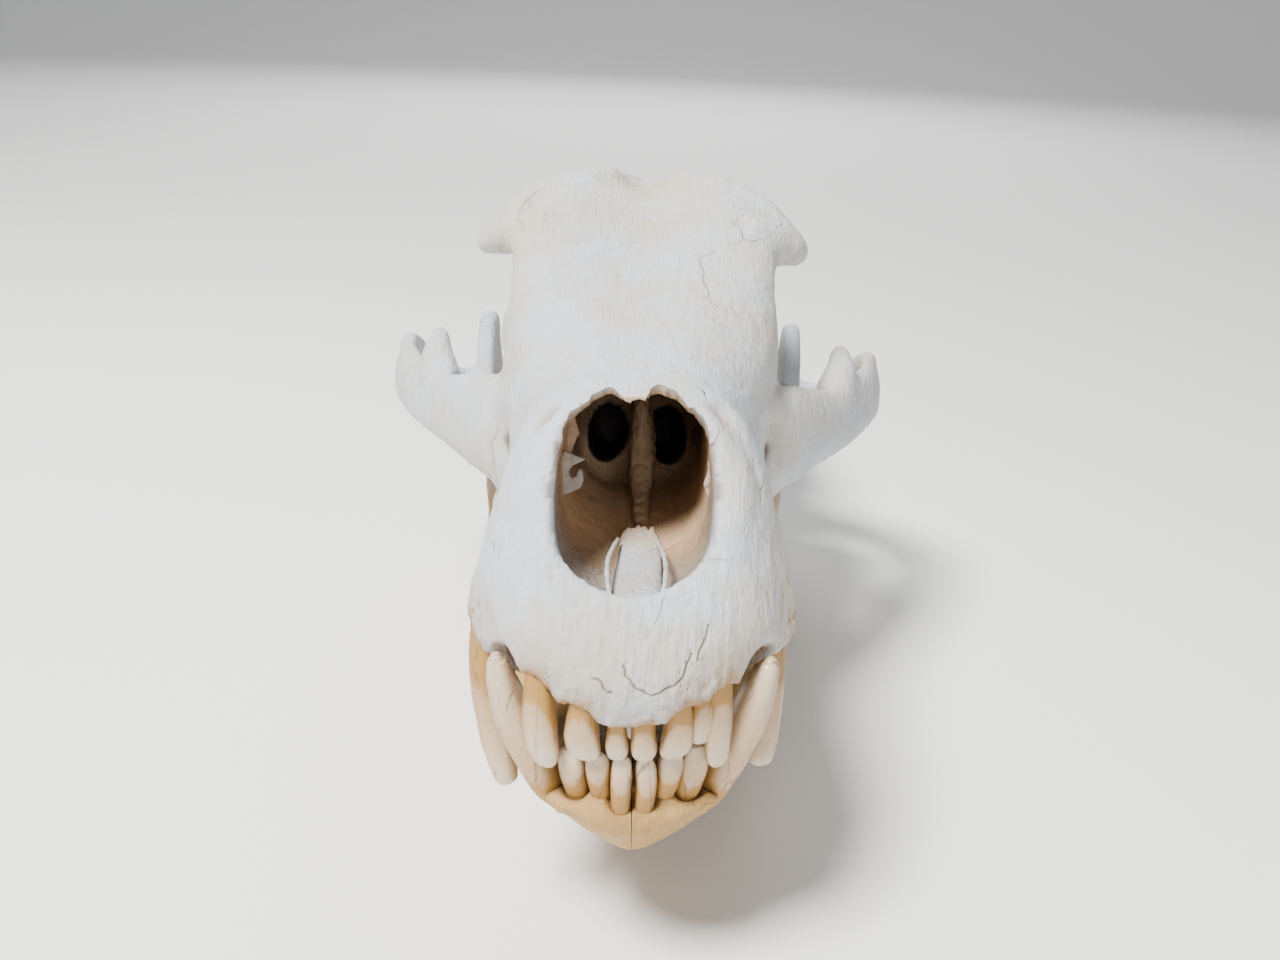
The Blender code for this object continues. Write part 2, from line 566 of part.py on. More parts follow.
def arch_room(side, grown, where):
    """The prism that a zygomatic arch is cut free by, made larger all round by a distance."""
    middle = Vector((sum(p[0] for p in ARCH_ROOM), sum(p[1] for p in ARCH_ROOM))) / len(ARCH_ROOM)
    outline = []
    for i in range(len(ARCH_ROOM)):
        before, here, after = (Vector(ARCH_ROOM[(i + k) % len(ARCH_ROOM)]) for k in (-1, 0, 1))
        normals = [Vector((d.y, -d.x)).normalized() for d in (here - before, after - here)]
        normals = [n if n.dot(here - middle) > 0 else -n for n in normals]
        bisector = (normals[0] + normals[1]).normalized()
        outline.append(here + bisector * (grown / bisector.dot(normals[0])))
    low, high = ARCH_ROOM_LEVELS
    slab("arch_room", outline, lambda p, face: (side * p.x, p.y, high if face > 0 else low), where)


def copy_of(obj, name, where):
    made = bpy.data.objects.new(name, obj.data.copy())
    where.objects.link(made)
    return made


def sliced(obj, point, normal, where):
    """Cuts away what lies on the far side of a plane, by the flat face of a large block there."""
    block = bmesh.new()
    bmesh.ops.create_cube(block, size=1)
    turn = Vector((0, 0, 1)).rotation_difference(Vector(normal)).to_matrix().to_4x4()
    place = Matrix.Translation(Vector(point)) @ turn @ Matrix.Translation((0, 0, SLICE_BLOCK / 2))
    bmesh.ops.transform(block, matrix=place @ Matrix.Scale(SLICE_BLOCK, 4), verts=block.verts)
    blocks = collection("blocks")
    add_object("block", block, blocks)
    return combined(obj, blocks, "DIFFERENCE", where, solver="MANIFOLD")


def cranium_and_arches(where):
    pieces = collection("cranium_pieces")
    cranium_core(pieces)
    for side in (-1, 1):
        arch_piece(side, pieces)
        side_pieces(side, pieces)
    whole = fused("skull", pieces, CRANIUM_GRID, EASE_PASSES, where)
    holes = collection("holes")
    nose_cutters(holes)
    other_cutters(holes)
    whole = combined(whole, holes, "DIFFERENCE", where)
    keep_largest(whole)
    whole = thinned(whole, CRANIUM_FACES, where)
    made = []
    rooms = collection("rooms")
    for name, side in (("zygomatic_arch_right", -1), ("zygomatic_arch_left", 1)):
        room = collection("room")
        arch_room(side, 0, room)
        arch = combined(copy_of(whole, name, where), room, "INTERSECT", where)
        keep_largest(arch)
        made.append(arch)
        arch_room(side, GAP, rooms)
    whole = combined(whole, rooms, "DIFFERENCE", where)
    growths = collection("growths")
    upper_teeth(growths)
    septum_pieces(growths)
    cranium = combined(whole, growths, "UNION", where, solver="MANIFOLD")
    cranium.name = "cranium"
    keep_largest(cranium)
    return [cranium, *made]


def jaw_half(where):
    """The left half of the lower jaw, with its teeth, flat where it meets the other half."""
    pieces = collection("jaw_pieces")
    rings = []
    for y in JAW_STATIONS:
        x_low, low, thick_low, x_high, high, thick_high = along(JAW_BODY, y)
        ring = two_part_oval((0, y, 0), 1, 1, *JAW_SQUARENESS, JAW_SIDES)
        for point in ring:
            share = (point.z + 1) / 2
            thick = thick_low + share * (thick_high - thick_low)
            point.x = x_low + share * (x_high - x_low) + point.x * thick
            point.z = low + share * (high - low)
        rings.append(ring)
    loft("body", rings, pieces)
    slab("coronoid", CORONOID, coronoid_point, pieces)
    ellipsoid("condyle", CONDYLE, CONDYLE_RADII, pieces)
    limb("neck", CONDYLE_NECK, pieces)
    limb("angle", ANGLE_PROCESS, pieces)
    limb("canine_socket", CANINE_SOCKET, pieces)
    half = fused("jaw", pieces, JAW_GRID, EASE_PASSES, where)
    hollows = collection("hollows")
    ellipsoid("masseter", *MASSETER_HOLLOW, hollows)
    half = combined(half, hollows, "DIFFERENCE", where)
    half = thinned(half, JAW_FACES, where)
    teeth = collection("lower_teeth")
    lower_teeth(teeth)
    half = combined(half, teeth, "UNION", where, solver="MANIFOLD")
    half = sliced(half, (SYMPHYSIS, 0, 0), (-1, 0, 0), where)
    keep_largest(half)
    half.name = "mandible_left"
    return half


def coronoid_point(p, face):
    """A point of the coronoid plate, which leans outwards and thins as it rises."""
    x, thick = along(CORONOID_LEAN, p[1])
    return (x + face * thick / 2, p[0], p[1])


def mirrored(obj, name, where):
    made = copy_of(obj, name, where)
    shape = bmesh.new()
    shape.from_mesh(made.data)
    bmesh.ops.transform(shape, matrix=Matrix.Diagonal((-1, 1, 1, 1)), verts=shape.verts)
    bmesh.ops.reverse_faces(shape, faces=shape.faces)
    shape.to_mesh(made.data)
    shape.free()
    return made


def twisted(node):
    """Turns each point about the line along the middle of the skull, by the angle there."""
    for vert in node.data.vertices:
        turn = math.radians(np.interp(vert.co.y, *zip(*TWIST)))
        x, z = vert.co.x, vert.co.z - TWIST_AXIS
        vert.co.x = x * math.cos(turn) + z * math.sin(turn)
        vert.co.z = z * math.cos(turn) - x * math.sin(turn) + TWIST_AXIS


def seat(nodes, where):
    """Tips the nodes so that the jaw rests on its flats, and sets them over the origin in metres."""
    tip = -math.atan2(SEAT_REAR[1] - SEAT_FRONT[1], SEAT_REAR[0] - SEAT_FRONT[0])
    turn = Matrix.Rotation(tip, 4, "X")
    level = (turn @ Vector((0, *SEAT_FRONT))).z + SEAT_FLAT
    seated = []
    for node in nodes:
        twisted(node)
        node.data.transform(Matrix.Translation((0, SEAT_SHIFT, -level)) @ turn)
        if node.name.startswith("mandible"):
            node = sliced(node, (0, 0, 0), (0, 0, -1), where)
        node.data.transform(Matrix.Scale(MM, 4))
        seated.append(node)
    return seated


def main():
    clear_scene()
    skull = collection("brown_bear_skull")
    nodes = cranium_and_arches(skull)
    left = jaw_half(skull)
    nodes += [left, mirrored(left, "mandible_right", skull)]
    nodes = seat(nodes, skull)
    bone = bone_material("dry_bone", (0.72, 0.66, 0.55), 0.6)
    jaw_bone = bone_material("dry_jaw_bone", (0.66, 0.57, 0.44), 0.6)
    for node in nodes:
        node.data.materials.clear()
        node.data.materials.append(jaw_bone if node.name.startswith("mandible") else bone)
        node.data.set_sharp_from_angle(angle=SHARP_EDGE)


main()
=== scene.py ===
"""Dresses the solids of a brown bear skull: bone, teeth and the inside of the nose, with floor and light.

Shapes are worked out in the skull's own frame, in millimetres: x to the animal's left, y from the front
teeth to the back of the head, z up from the lower edge of the jaw, with the tooth rows level. A finished
piece is twisted, tipped and scaled to metres as the solids are.
"""

import json
import math

import bmesh
import bpy
import numpy as np
from bpy.props import FloatProperty, FloatVectorProperty, PointerProperty
from mathutils import Matrix, Vector, noise

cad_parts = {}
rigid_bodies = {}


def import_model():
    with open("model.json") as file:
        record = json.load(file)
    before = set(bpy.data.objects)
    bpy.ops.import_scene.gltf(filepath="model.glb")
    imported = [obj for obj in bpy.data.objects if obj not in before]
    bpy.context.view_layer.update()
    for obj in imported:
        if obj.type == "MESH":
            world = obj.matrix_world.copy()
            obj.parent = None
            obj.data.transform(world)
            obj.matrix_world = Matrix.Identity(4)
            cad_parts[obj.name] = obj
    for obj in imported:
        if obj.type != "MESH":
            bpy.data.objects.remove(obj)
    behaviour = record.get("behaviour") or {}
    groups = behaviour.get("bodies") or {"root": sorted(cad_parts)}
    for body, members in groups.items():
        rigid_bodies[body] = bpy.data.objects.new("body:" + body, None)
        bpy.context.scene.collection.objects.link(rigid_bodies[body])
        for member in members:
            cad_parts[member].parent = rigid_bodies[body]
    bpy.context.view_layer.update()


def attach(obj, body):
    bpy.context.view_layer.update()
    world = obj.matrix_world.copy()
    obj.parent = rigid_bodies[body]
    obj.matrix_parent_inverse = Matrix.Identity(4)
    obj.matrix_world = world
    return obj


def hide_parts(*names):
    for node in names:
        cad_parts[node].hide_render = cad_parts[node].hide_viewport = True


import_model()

bl_info = {
    "name": "Bear Skull Looks",
    "version": (1, 0, 0),
    "blender": (4, 5, 0),
    "location": "3D View > Sidebar > Skull",
    "description": "Builds the finished bone and teeth of a brown bear skull around its solids",
    "category": "Add Mesh",
}

MM = 0.001
SIDE_NAMES = {-1: "right", 1: "left"}
ACROSS, LENGTHWISE, UP = (1, 0, 0), (0, 1, 0), (0, 0, 1)

# How the skull sits on its jaw, as the solids do: (y, z) of its two seats, how far they are worn flat, and
# the shift that brings it over the origin. The muzzle is twisted on the skull: (y, degrees about y).
SEAT_FRONT = (120.0, 0.3)
SEAT_REAR = (204.0, 7.0)
SEAT_FLAT = 0.9
SEAT_SHIFT = -179.7
TWIST = ((-1, -2.15), (30, -2.15), (75, -1.2), (112, 0), (345, 0))
TWIST_AXIS = 95.0

# Rails of the cranium along its side, (y, x, z), or (y, z) on the middle plane.
ROOF = ((-1, 90), (5, 98), (12, 105), (30, 125), (48, 144), (75, 149), (105, 156.5), (135, 171),
        (160, 186.5), (180, 192), (215, 190), (262, 185), (305, 178.5), (328, 171.5), (337, 163))
CROWN = ((-1, 7, 89), (5, 15, 96), (15, 23, 106), (30, 26, 121), (48, 22, 141), (75, 19, 147),
         (105, 23, 155.5), (135, 31, 173), (160, 28, 191), (180, 21, 195.5), (205, 11, 189),
         (240, 5.5, 176), (285, 5.5, 168), (320, 12, 164), (337, 9, 156))
BROW = ((-1, 10, 86), (5, 21, 91), (15, 31, 99), (30, 36, 110), (48, 34, 129), (75, 32, 134),
        (105, 39, 144), (135, 44.5, 165), (158, 47, 177), (178, 39, 184), (205, 28, 172),
        (240, 32, 163), (285, 38, 154), (308, 40, 150), (326, 36, 146), (337, 20, 143))
WALL = ((-1, 9, 83), (5, 22, 85), (15, 33, 91), (30, 39.5, 98), (48, 38.5, 108), (75, 37, 112),
        (105, 42, 118), (128, 45.5, 137), (150, 31, 150), (178, 29, 150), (205, 36, 148),
        (240, 49, 143), (275, 54, 134), (305, 60, 128), (316, 56, 128), (327, 41, 132), (337, 26, 132))
BASE = ((-1, 8, 78.5), (5, 19, 80.5), (15, 28.5, 82.5), (30, 40.5, 84.5), (48, 38.5, 86.5),
        (75, 36.5, 86), (105, 41, 84), (135, 43, 85), (158, 37, 88), (178, 25, 97), (205, 25, 104),
        (240, 36, 108), (275, 46, 102), (300, 57, 100), (314, 51, 100), (326, 34, 102), (337, 22, 108))
FLOOR = ((-1, 77), (4, 75), (14, 80), (28, 86), (48, 89), (105, 90), (160, 90), (185, 93), (240, 97),
         (300, 96), (326, 100), (337, 106))
CORE_RINGS = 72
SECTION_POINTS = 72

# The zygomatic arch: (x, y, z of its middle, half its thickness, half its height). Its lower edge leans out.
ARCH = ((38, 112, 111, 9, 16), (50, 124, 115, 8.5, 17), (61, 137, 115.2, 7, 14.8),
        (74.5, 153, 113.8, 5.4, 11.4), (87, 174, 115.5, 4.4, 11.5), (94, 194, 117, 4.2, 11.5),
        (95.5, 216, 112, 4.2, 11), (92, 238, 101.5, 5, 9.5), (83, 254, 95.5, 8, 7),
        (68, 260, 93, 11, 7), (46, 264, 98, 12, 10))
ARCH_LEAN = 0.2
ARCH_SQUARENESS = 2.4

# What stands out on each side of the cranium, as paths of (x, y, z, radius).
SIDE_LIMBS = (
    ((73, 158, 121, 8), (76, 167, 129, 6), (76, 174, 135.5, 3.6)),
    ((94.5, 222, 118, 4.5), (94.5, 208, 123.5, 4.5), (92.5, 196, 127, 3)),
    ((46, 162, 178, 3.5), (34, 174, 186, 4), (18, 192, 191, 4.5), (5, 214, 190, 4)),
    ((12, 178, 192, 6.5), (24, 172, 191.5, 6), (34, 168, 189, 5.5), (43, 163, 184.8, 5),
     (50, 159, 178.5, 4.5)),
    ((35, 32, 93, 8), (33, 46, 108, 8), (29, 62, 122, 6)),
    ((23.5, 17, 86, 5), (26.5, 25, 82.5, 5.5), (30, 32, 82, 6)),
    ((22, 19, 105, 4), (26, 31, 117, 4.5), (27, 45, 130, 4.5), (25.5, 57, 139, 3.5)),
    ((2, 336, 169, 4.5), (22, 332, 159, 4.5), (41, 325, 143, 4.5), (56, 314, 125, 6), (61, 304, 110, 9)),
    ((54, 298, 118, 14), (57, 302, 104, 13), (58, 305, 93, 8)),
    ((42, 308, 104, 12), (46, 315, 95, 9), (47, 319, 89, 5)),
    ((34, 312, 108, 10), (16, 322, 104, 10)),
    ((42, 266, 102, 14), (60, 261, 97, 11), (78, 257, 95, 7.5)),
    ((46, 255, 88, 5), (62, 254.5, 86, 5), (76, 253, 89, 4)),
    ((36, 84, 86, 6), (39, 105, 86, 8), (41, 130, 86, 9), (38, 158, 86, 8.5), (33, 172, 88, 6)),
    ((34, 96, 130, 6), (37.5, 110, 127, 7.5), (44, 121, 122, 8.5)),
)
COLLARS = {-1: ((36.2, 40, 98, 7.8), (36.7, 37, 90, 8.2), (36.9, 34.4, 82.5, 8)),
           1: ((34.6, 40, 98, 7.4), (34.9, 37, 90, 7.6), (35, 34.6, 82.5, 7.4))}   # round the upper canines
POSTORBITAL = ((34, 152, 176, 10), (46, 156, 175.5, 8), (53, 158, 173, 6.2), (57, 158.5, 170.6, 4.6))
POSTORBITAL_CUT_SHORT = {-1: 0.0, 1: 4.0}

# Rounded masses on each side: middle, radii, tilt about x.
SIDE_MASSES = (
    ((18, 333, 112), (12, 12, 14), -0.4),
    ((31, 282, 100), (19, 22, 8), 0.0),
    ((62, 259, 96), (21, 12, 8), 0.0),
)
PTERYGOID = ((172, 96), (176, 86), (198, 83), (214, 84), (222, 98))
PTERYGOID_PLACE = (13.0, 2.2)

# The nose: (y, half width, floor, ceiling, squareness above and below), the plan of the roof's broken edge
# over it as (x, y), and the two dark passages behind.
NOSE = ((9, 7, 108, 118, 2.4, 2.0), (14, 13, 105, 124, 2.6, 2.0), (20, 17.8, 102.5, 130, 2.9, 2.2),
        (30, 20.4, 99, 137, 3.2, 2.4), (42, 20.8, 98, 142.5, 3.6, 2.8), (60, 20.6, 98, 145, 3.2, 3.0),
        (85, 21, 97, 147, 2.6, 3.0), (112, 21, 96, 150.5, 2.2, 3.0), (132, 19.5, 95, 152, 2.2, 3.0),
        (140, 15, 98, 146, 2.2, 2.6))
NASAL_EDGE = ((-19.3, 30), (-19.3, 40), (-18.9, 42.5), (-18.2, 45), (-16.9, 47.2), (-15.1, 48),
              (-14.1, 49), (-12.8, 50), (-12.2, 51.8), (-11.4, 53.2), (-9.7, 54.5), (-8.4, 56.2),
              (-7.4, 56.6), (-6.4, 56), (-5, 53.5), (-3.3, 50.5), (-1.4, 49), (0.1, 48), (1.3, 48.5),
              (2.3, 49), (2.9, 51), (3.6, 53.8), (4.4, 57), (6.0, 58.2), (7.2, 58.3), (8.3, 56.6),
              (10.4, 55.2), (11.6, 53), (12.9, 50.5), (13.8, 48.5), (15.6, 48), (17.1, 46.5),
              (18.3, 45), (19.2, 43), (19.8, 40), (19.8, 30))
NOSE_SPAN = (7, 164)   # from where to where points count as in the nose, which past NOSE_BACK stays as wide
NOSE_BACK = 132
NOSE_MARGIN = 1.3
# Where along y the painted shade on the nose's front floor rises and fades.
NOSE_FRONT_SHADE = (16, 28, 46, 78)
NOSE_RINGS = 32
RING_SIDES = 36
EDGE_LEVELS = (131.0, 160.0)
EDGE_GRAIN = 1.7
EDGE_UNDERCUT = (146.0, 0.45)   # the level of the outline, and how far back it leans below that
PASSAGE = ((10.5, 128.0, 110.0), (10.0, 162.0, 107.0))
PASSAGE_RADII = (6.6, 9.6)
# Where along y the passages behind the nose are painted dark as shade.
PASSAGE_SPAN = (125, 128, 163, 168)

# Openings made as rings: (x, y, z of the middle, half width, half height or depth, lean of the ring).
INFRAORBITAL = ((44.5, 88, 113.5, 1.7, 3.8), (41.8, 102, 115.2, 1.7, 3.8), (39.0, 116, 116.8, 1.7, 3.6),
                (36.5, 130, 118, 1.6, 3.4))
INFRAORBITAL_TURN = 0.3
CHOANA = ((186, 84, 9.5, 6, 0.2), (196, 98, 9.5, 12, 0.2), (216, 82, 9.5, 12, -0.6))
SPINE_HOLE = ((350, 122, 15, 12.5), (322, 124, 13, 11), (306, 125, 8, 7))
CANINE_ROOM = ((33.4, 14.8, 81.5), (8.7, 7.6, 8.8), 0.0)

# Arches of the bone's edge over the upper incisors: (x, y, z of the top, half width).
SOCKET_ARCHES = ((-3.9, 3.2, 75.4, 2.9), (2.2, 3.6, 79.0, 3.4), (-12.2, 5.6, 81.8, 4.4),
                 (10.8, 5.6, 81.2, 4.4), (-22.8, 9.6, 84.0, 5.0), (18.0, 8.4, 82.4, 4.4),
                 (22.8, 10.6, 83.0, 3.4))

SOCKET_ARCH_DEPTH = 5.0
SOCKET_ARCH_RISE = 6.0

# How far out and back the brown of the mouth's inside reaches, stain and painted shade together.
MOUTH_HALF_WIDTH = 33
MOUTH_FADING = (40, 60)

# Cracks in the face of the bone above the incisors, as (x, z) in the view from the front.
CRACKS = (
    ((-2.1, 92.9), (-1.6, 91), (-0.4, 89.6), (1.5, 87.6), (4.6, 86), (6.4, 86.6), (8, 87.7), (10.4, 88.4),
     (12.2, 89.7), (13.1, 92.4), (14.3, 94.7)),
    ((15.8, 93), (16.2, 95), (17.6, 96.6), (18.6, 99.9)),
    ((-9, 90), (-7.4, 89.4), (-6.8, 87.6), (-4.8, 86.8)),
)

# The rounded rim at each side of the nose's mouth, and the groove outside it.
APERTURE_RIM = ((22, 24, 110), (25, 30, 118), (25.5, 36, 126), (23.5, 42, 135), (20, 46, 143))
RIM_GROOVE = ((30.5, 32, 108), (31, 37, 116), (30, 43, 125), (26.5, 48, 134), (22.5, 52, 143))

RIM_RISE = 1.2
RIM_WIDTH = 4.0
GROOVE_DEPTH = 2.3
GROOVE_WIDTH = 3.0

# The bone's uneven surface: swells as (size, height), the cracks' depth and width, and the muzzle's end.
FAR_AWAY = 99.0
SKULL_SWELLS = ((17, 0.45), (5.5, 0.2))
JAW_SWELLS = ((15, 0.4), (5, 0.18))
CRACKS_BACK = 26
CRACK_DEPTH = 0.35
CRACK_WIDTH = 0.3
MUZZLE_BACK = 70.0
GRAIN_HEIGHT = 0.26
GRAIN_SIZE = 1.8
GRAIN_SQUEEZE = 0.3
BUMP_HEIGHT = 0.5
BUMP_SIZE = 2.1
# The sockets' edges: depth of the gap beside a tooth, and height, place and width of the lip outside it.
SKULL_SOCKET = (1.0, 0.55, 2.6, 1.5)
JAW_SOCKET = (0.9, 0.5, 2.4, 1.4)
GAP_WIDTH = 0.8

# The bony septum: (z, y of its middle, x, half width, half length), from the nose's floor to its roof.
SEPTUM = ((96, 92, 1.6, 3.2, 20), (100, 97, 1.6, 2.6, 14), (104, 106, 1.7, 4.2, 9),
          (111, 110, 1.7, 4.6, 8), (119, 113, 1.5, 4.0, 9), (127, 118, 1.0, 3.2, 12),
          (140, 126, 0.6, 2.6, 16), (156, 132, 0, 2.6, 18))
# The low plate on the nose's floor: (y, x of its middle, half width, z of its top, half height).
NOSE_PLATE = ((14, 0.3, 6.6, 103.6, 2.4), (20, 0.5, 6.8, 103.9, 2.6), (34, 1.0, 6.6, 102.8, 2.6),
              (48, 1.5, 6.2, 102.2, 2.6), (60, 1.5, 5.8, 102.4, 2.6), (66, 1.5, 4.8, 102.4, 2.6))
CURL = ((13, 6.3, 104.6, 0.6), (20, 7.2, 106.2, 0.7), (30, 7.6, 106.4, 0.75), (42, 6.8, 105.2, 0.7),
        (54, 5.4, 103.4, 0.6))

# Scraps of the turbinates: how far back each stands, and its torn outline as (x, z).
SCRAPS = (
    (62, ((-22.6, 113.6), (-18.4, 115.2), (-15.5, 116.4), (-14.6, 118.5), (-14.8, 120.8), (-16.0, 121.4),
          (-16.8, 119.4), (-18.2, 118.8), (-19.0, 120.8), (-17.6, 122.4), (-13.8, 124.2), (-16.4, 124.6),
          (-20.4, 126.2), (-22.6, 124.4))),
    (78, ((-23, 118), (-19.6, 121), (-17.2, 126), (-18.6, 131), (-17.6, 136), (-20.4, 139), (-23, 138))),
    (58, ((22.6, 130.5), (20.6, 128.6), (20.0, 124.6), (20.4, 122.8), (19.2, 118.9), (20.0, 116.2),
          (22.6, 113.8))),
)
SCRAP_HALF = 0.9
SCRAP_LEAN = 0.4

# Lower jaw, left half: (y, then x, z and half thickness low down, and the same at the upper edge).
JAW_BODY = ((2.5, 0.5, 42.5, 6, 5, 49, 9.5), (8, 0, 37.5, 6, 10, 51, 14.5),
            (16, 0, 28, 7, 11, 50.5, 18), (28, 0, 20.5, 8.5, 13, 50, 18.5),
            (42, 1, 13.5, 10, 17, 49.5, 17.5), (58, 6, 11, 10, 22.5, 48.5, 15),
            (72, 16, 8.5, 10, 28.5, 49.5, 12), (86, 27, 5, 8.5, 32.5, 51, 10.5),
            (100, 34, 1.5, 8, 36, 53, 9.5), (130, 42, 0, 8.5, 42, 56, 9.5),
            (160, 50, 2, 8, 48, 58, 9.5), (185, 55, 6, 7, 52, 70, 7), (206, 58, 11, 6, 55, 74, 6.5),
            (222, 59.5, 20, 5, 58, 72, 6))
JAW_SQUARENESS = (4.0, 2.3)
JAW_RINGS = 60
JAW_SIDES = 36
CORONOID = ((168, 44), (173, 66), (181, 90), (191, 112), (201, 129), (212, 136.5), (221, 134),
            (223, 118), (220, 98), (226, 84), (222, 60), (205, 44))
CORONOID_LEAN = ((44, 51.5, 11), (58, 52, 10.5), (72, 53.5, 9.5), (90, 57.8, 8.2), (110, 62, 7.0),
                 (140, 63.4, 7.2))
CONDYLE = ((66.0, 236.0, 79.0), (19.0, 8.0, 8.0))
JAW_LIMBS = (
    ((57, 204, 62, 12), (60.5, 220, 67, 11.5), (64, 231, 75, 9)),
    ((55, 184, 20, 9), (56.5, 203, 17, 10.5), (56.5, 214, 21, 10), (56, 223, 27, 8.5), (56, 229, 33, 6)),
    ((12, 25, 38, 7), (17, 20, 44.5, 6.4), (21.4, 17.6, 48.4, 4.2), (25.2, 15.2, 50.4, 2.2)),
)
MASSETER_HOLLOW = ((69.0, 203.0, 68.0), (10.5, 24.0, 38.0))
SOCKET_MOUND = ((8.2, 8.6, 50.5), (3.4, 3.6, 4.4))
MENTAL_HOLES = (((27, 46, 31), 2.4), ((33.5, 62, 30), 1.8))
SYMPHYSIS = 0.12

# Incisors: side, (x, y, z) of neck, middle and edge, width of the crown and share of it at the neck, turn
# outwards in degrees.
UPPER_INCISORS = (
    (-1, (-3.7, 4.0, 77.0), (-3.7, 3.3, 71), (-3.7, 2.3, 66.1), 5.8, 0.72, -4),
    (1, (2.6, 4.0, 78.5), (2.9, 3.3, 71), (3.0, 2.3, 66.0), 6.6, 0.86, 4),
    (-1, (-11.8, 5.3, 82.5), (-12.5, 4.6, 72.5), (-11.6, 3.8, 65.0), 9.2, 0.66, -14),
    (1, (11.4, 5.3, 82.5), (11.5, 4.6, 72.5), (10.2, 3.8, 65.6), 8.5, 0.66, 14),
    (-1, (-22.8, 10.4, 85.5), (-23.3, 8.4, 73), (-22.2, 7.2, 60.8), 9.8, 0.74, -28),
    (1, (21.4, 9.8, 85.0), (21.6, 8.4, 73), (21.8, 7.6, 60.8), 7.4, 0.95, 28),
    (1, (17.0, 8.4, 82.0), (17.0, 7.0, 75.0), (17.6, 6.4, 68.4), 7.6, 0.78, 24),
)
LOWER_INCISORS = (
    (-1, (-2.9, 6.2, 48.5), (-2.7, 4.7, 57.5), (-2.4, 3.9, 65.6), 5.5, 0.9, -4),
    (1, (3.2, 6.2, 49.5), (3.7, 4.7, 57.5), (3.4, 3.9, 65.6), 5.5, 0.9, 4),
    (-1, (-8.0, 8.6, 52.5), (-8.6, 6.8, 59.5), (-8.9, 6.1, 65.2), 6.5, 0.82, -10),
    (1, (8.5, 8.6, 53.0), (9.5, 6.8, 59.5), (10.2, 6.1, 65.5), 6.7, 0.82, 10),
    (-1, (-13.8, 11.6, 49.5), (-15.1, 9.7, 57.5), (-16.1, 9.0, 64.5), 7.4, 0.84, -22),
    (1, (13.6, 11.6, 49.5), (15.3, 9.7, 57.5), (17.0, 9.0, 65.9), 8.0, 0.84, 22),
)
# The crown's rings: share of the way to the tip, growth from the neck's width to the full one, how much of
# that is left, and depth.
CROWN_RINGS = ((0.0, 0.0, 1.0, 1.0), (0.22, 0.35, 1.0, 1.05), (0.45, 0.8, 1.0, 1.0),
               (0.66, 1.0, 1.0, 0.82), (0.82, 1.0, 0.94, 0.58), (0.92, 1.0, 0.8, 0.42),
               (0.98, 1.0, 0.58, 0.3), (1.0, 1.0, 0.36, 0.24))
INCISOR_SIDES = 28
INCISOR_DEPTH = 0.85
INCISOR_ROOT = 6.0
ROOT_SEEN = {"upper": 0.0, "lower": 0.12}   # how much more of the root the lower ones show

# Canines: (x, y, z of the middle, half width, half length) from root to tip, for each side.
UPPER_CANINE = {
    -1: ((-35, 40, 98, 5.6, 8), (-37, 36, 88, 6.4, 8.4), (-37.9, 33.4, 80, 6.5, 8.2),
         (-38.2, 31, 69, 5.9, 7.0), (-37, 27.6, 57, 4.8, 5.5), (-35.4, 25.4, 49, 3.9, 4.4),
         (-34.3, 24.7, 44.4, 3.0, 3.4)),
    1: ((33.6, 40, 98, 5.6, 8), (34.8, 36, 88, 6.2, 8.4), (35.3, 33.6, 80, 6.2, 8.2),
        (35.6, 31, 69, 5.5, 7.0), (35.2, 27.4, 58, 4.7, 5.4), (34.4, 25.4, 53, 4.1, 4.6),
        (34.2, 25.0, 51, 3.5, 3.9)),
}
LOWER_CANINE = {
    -1: ((-17.8, 23, 40, 3.8, 4.4), (-20.4, 19, 45, 4.0, 4.6), (-23.0, 16.2, 51, 4.5, 5.0),
         (-26.9, 15.2, 61, 5.2, 5.9), (-30.6, 15.8, 70.5, 5.2, 5.8), (-33.2, 15.9, 79.5, 4.1, 4.6),
         (-34.5, 15.7, 85.2, 2.7, 3.0), (-34.7, 15.6, 86.9, 1.7, 1.9)),
    1: ((18, 23, 40, 3.8, 4.4), (20.4, 19, 45, 4.0, 4.6), (22.6, 16.2, 51.5, 4.5, 5.0),
        (26.2, 15.2, 61, 5.2, 5.9), (30.0, 15.6, 70.5, 5.2, 5.8), (33.0, 15.8, 79.5, 4.0, 4.5),
        (34.7, 15.7, 84.6, 2.7, 3.0), (35.1, 15.6, 86.2, 1.8, 2.0)),
}
CANINE_SIDES = 40
CANINE_STEPS = 6
CANINE_END = ((0.8, 0.72), (1.2, 0.4))   # the closing rings: how far past the last knot, and their size
# Where each row's crowns start, as a count of knots, and the share kept on their tips.
CANINE_CROWNS = {"upper": (1.4, 0.1), "lower": (0.9, 1.0)}
TOOTH_LEVELS = 1

# Cheek teeth: (front y, back y, x of the middle, half width, cusps along each side, z of the crown's edge,
# z of the neck), and how far their roots reach into the bone.
UPPER_CHEEK = ((47, 52, 35, 2.6, 1, 80, 84), (86, 91, 36, 2.7, 1, 77.5, 82),
               (94.5, 108, 36.5, 5.8, 2, 69, 79), (108.6, 130, 39.5, 7.8, 3, 68.5, 79),
               (130.6, 168, 40, 8.6, 4, 69.5, 79))
LOWER_CHEEK = ((92, 104, 33, 3.8, 1, 62, 56.5), (104.6, 128, 35.5, 5.2, 3, 64.5, 56.5),
               (128.6, 154, 39.5, 6.6, 3, 64, 56.5), (154.6, 172, 44.5, 5.8, 2, 63.5, 56.5))
UPPER_CHEEK_ROOT = 12.0
LOWER_CHEEK_ROOT = 6.0
CUSP_RISE = 3.4
CHEEK_SIDES = 48
CHEEK_SQUARENESS = 2.8

# Grids that the bones are made on: the first joins the parts, the second rounds the cut edges.
JOIN_GRID = 2.0
SKIN_GRID = 1.5
JAW_JOIN_GRID = 1.6
JAW_SKIN_GRID = 1.25
JOIN_PASSES = 5
SKIN_PASSES = 2
EASE_FACTOR = 0.5
SHARP_EDGE = math.radians(60)

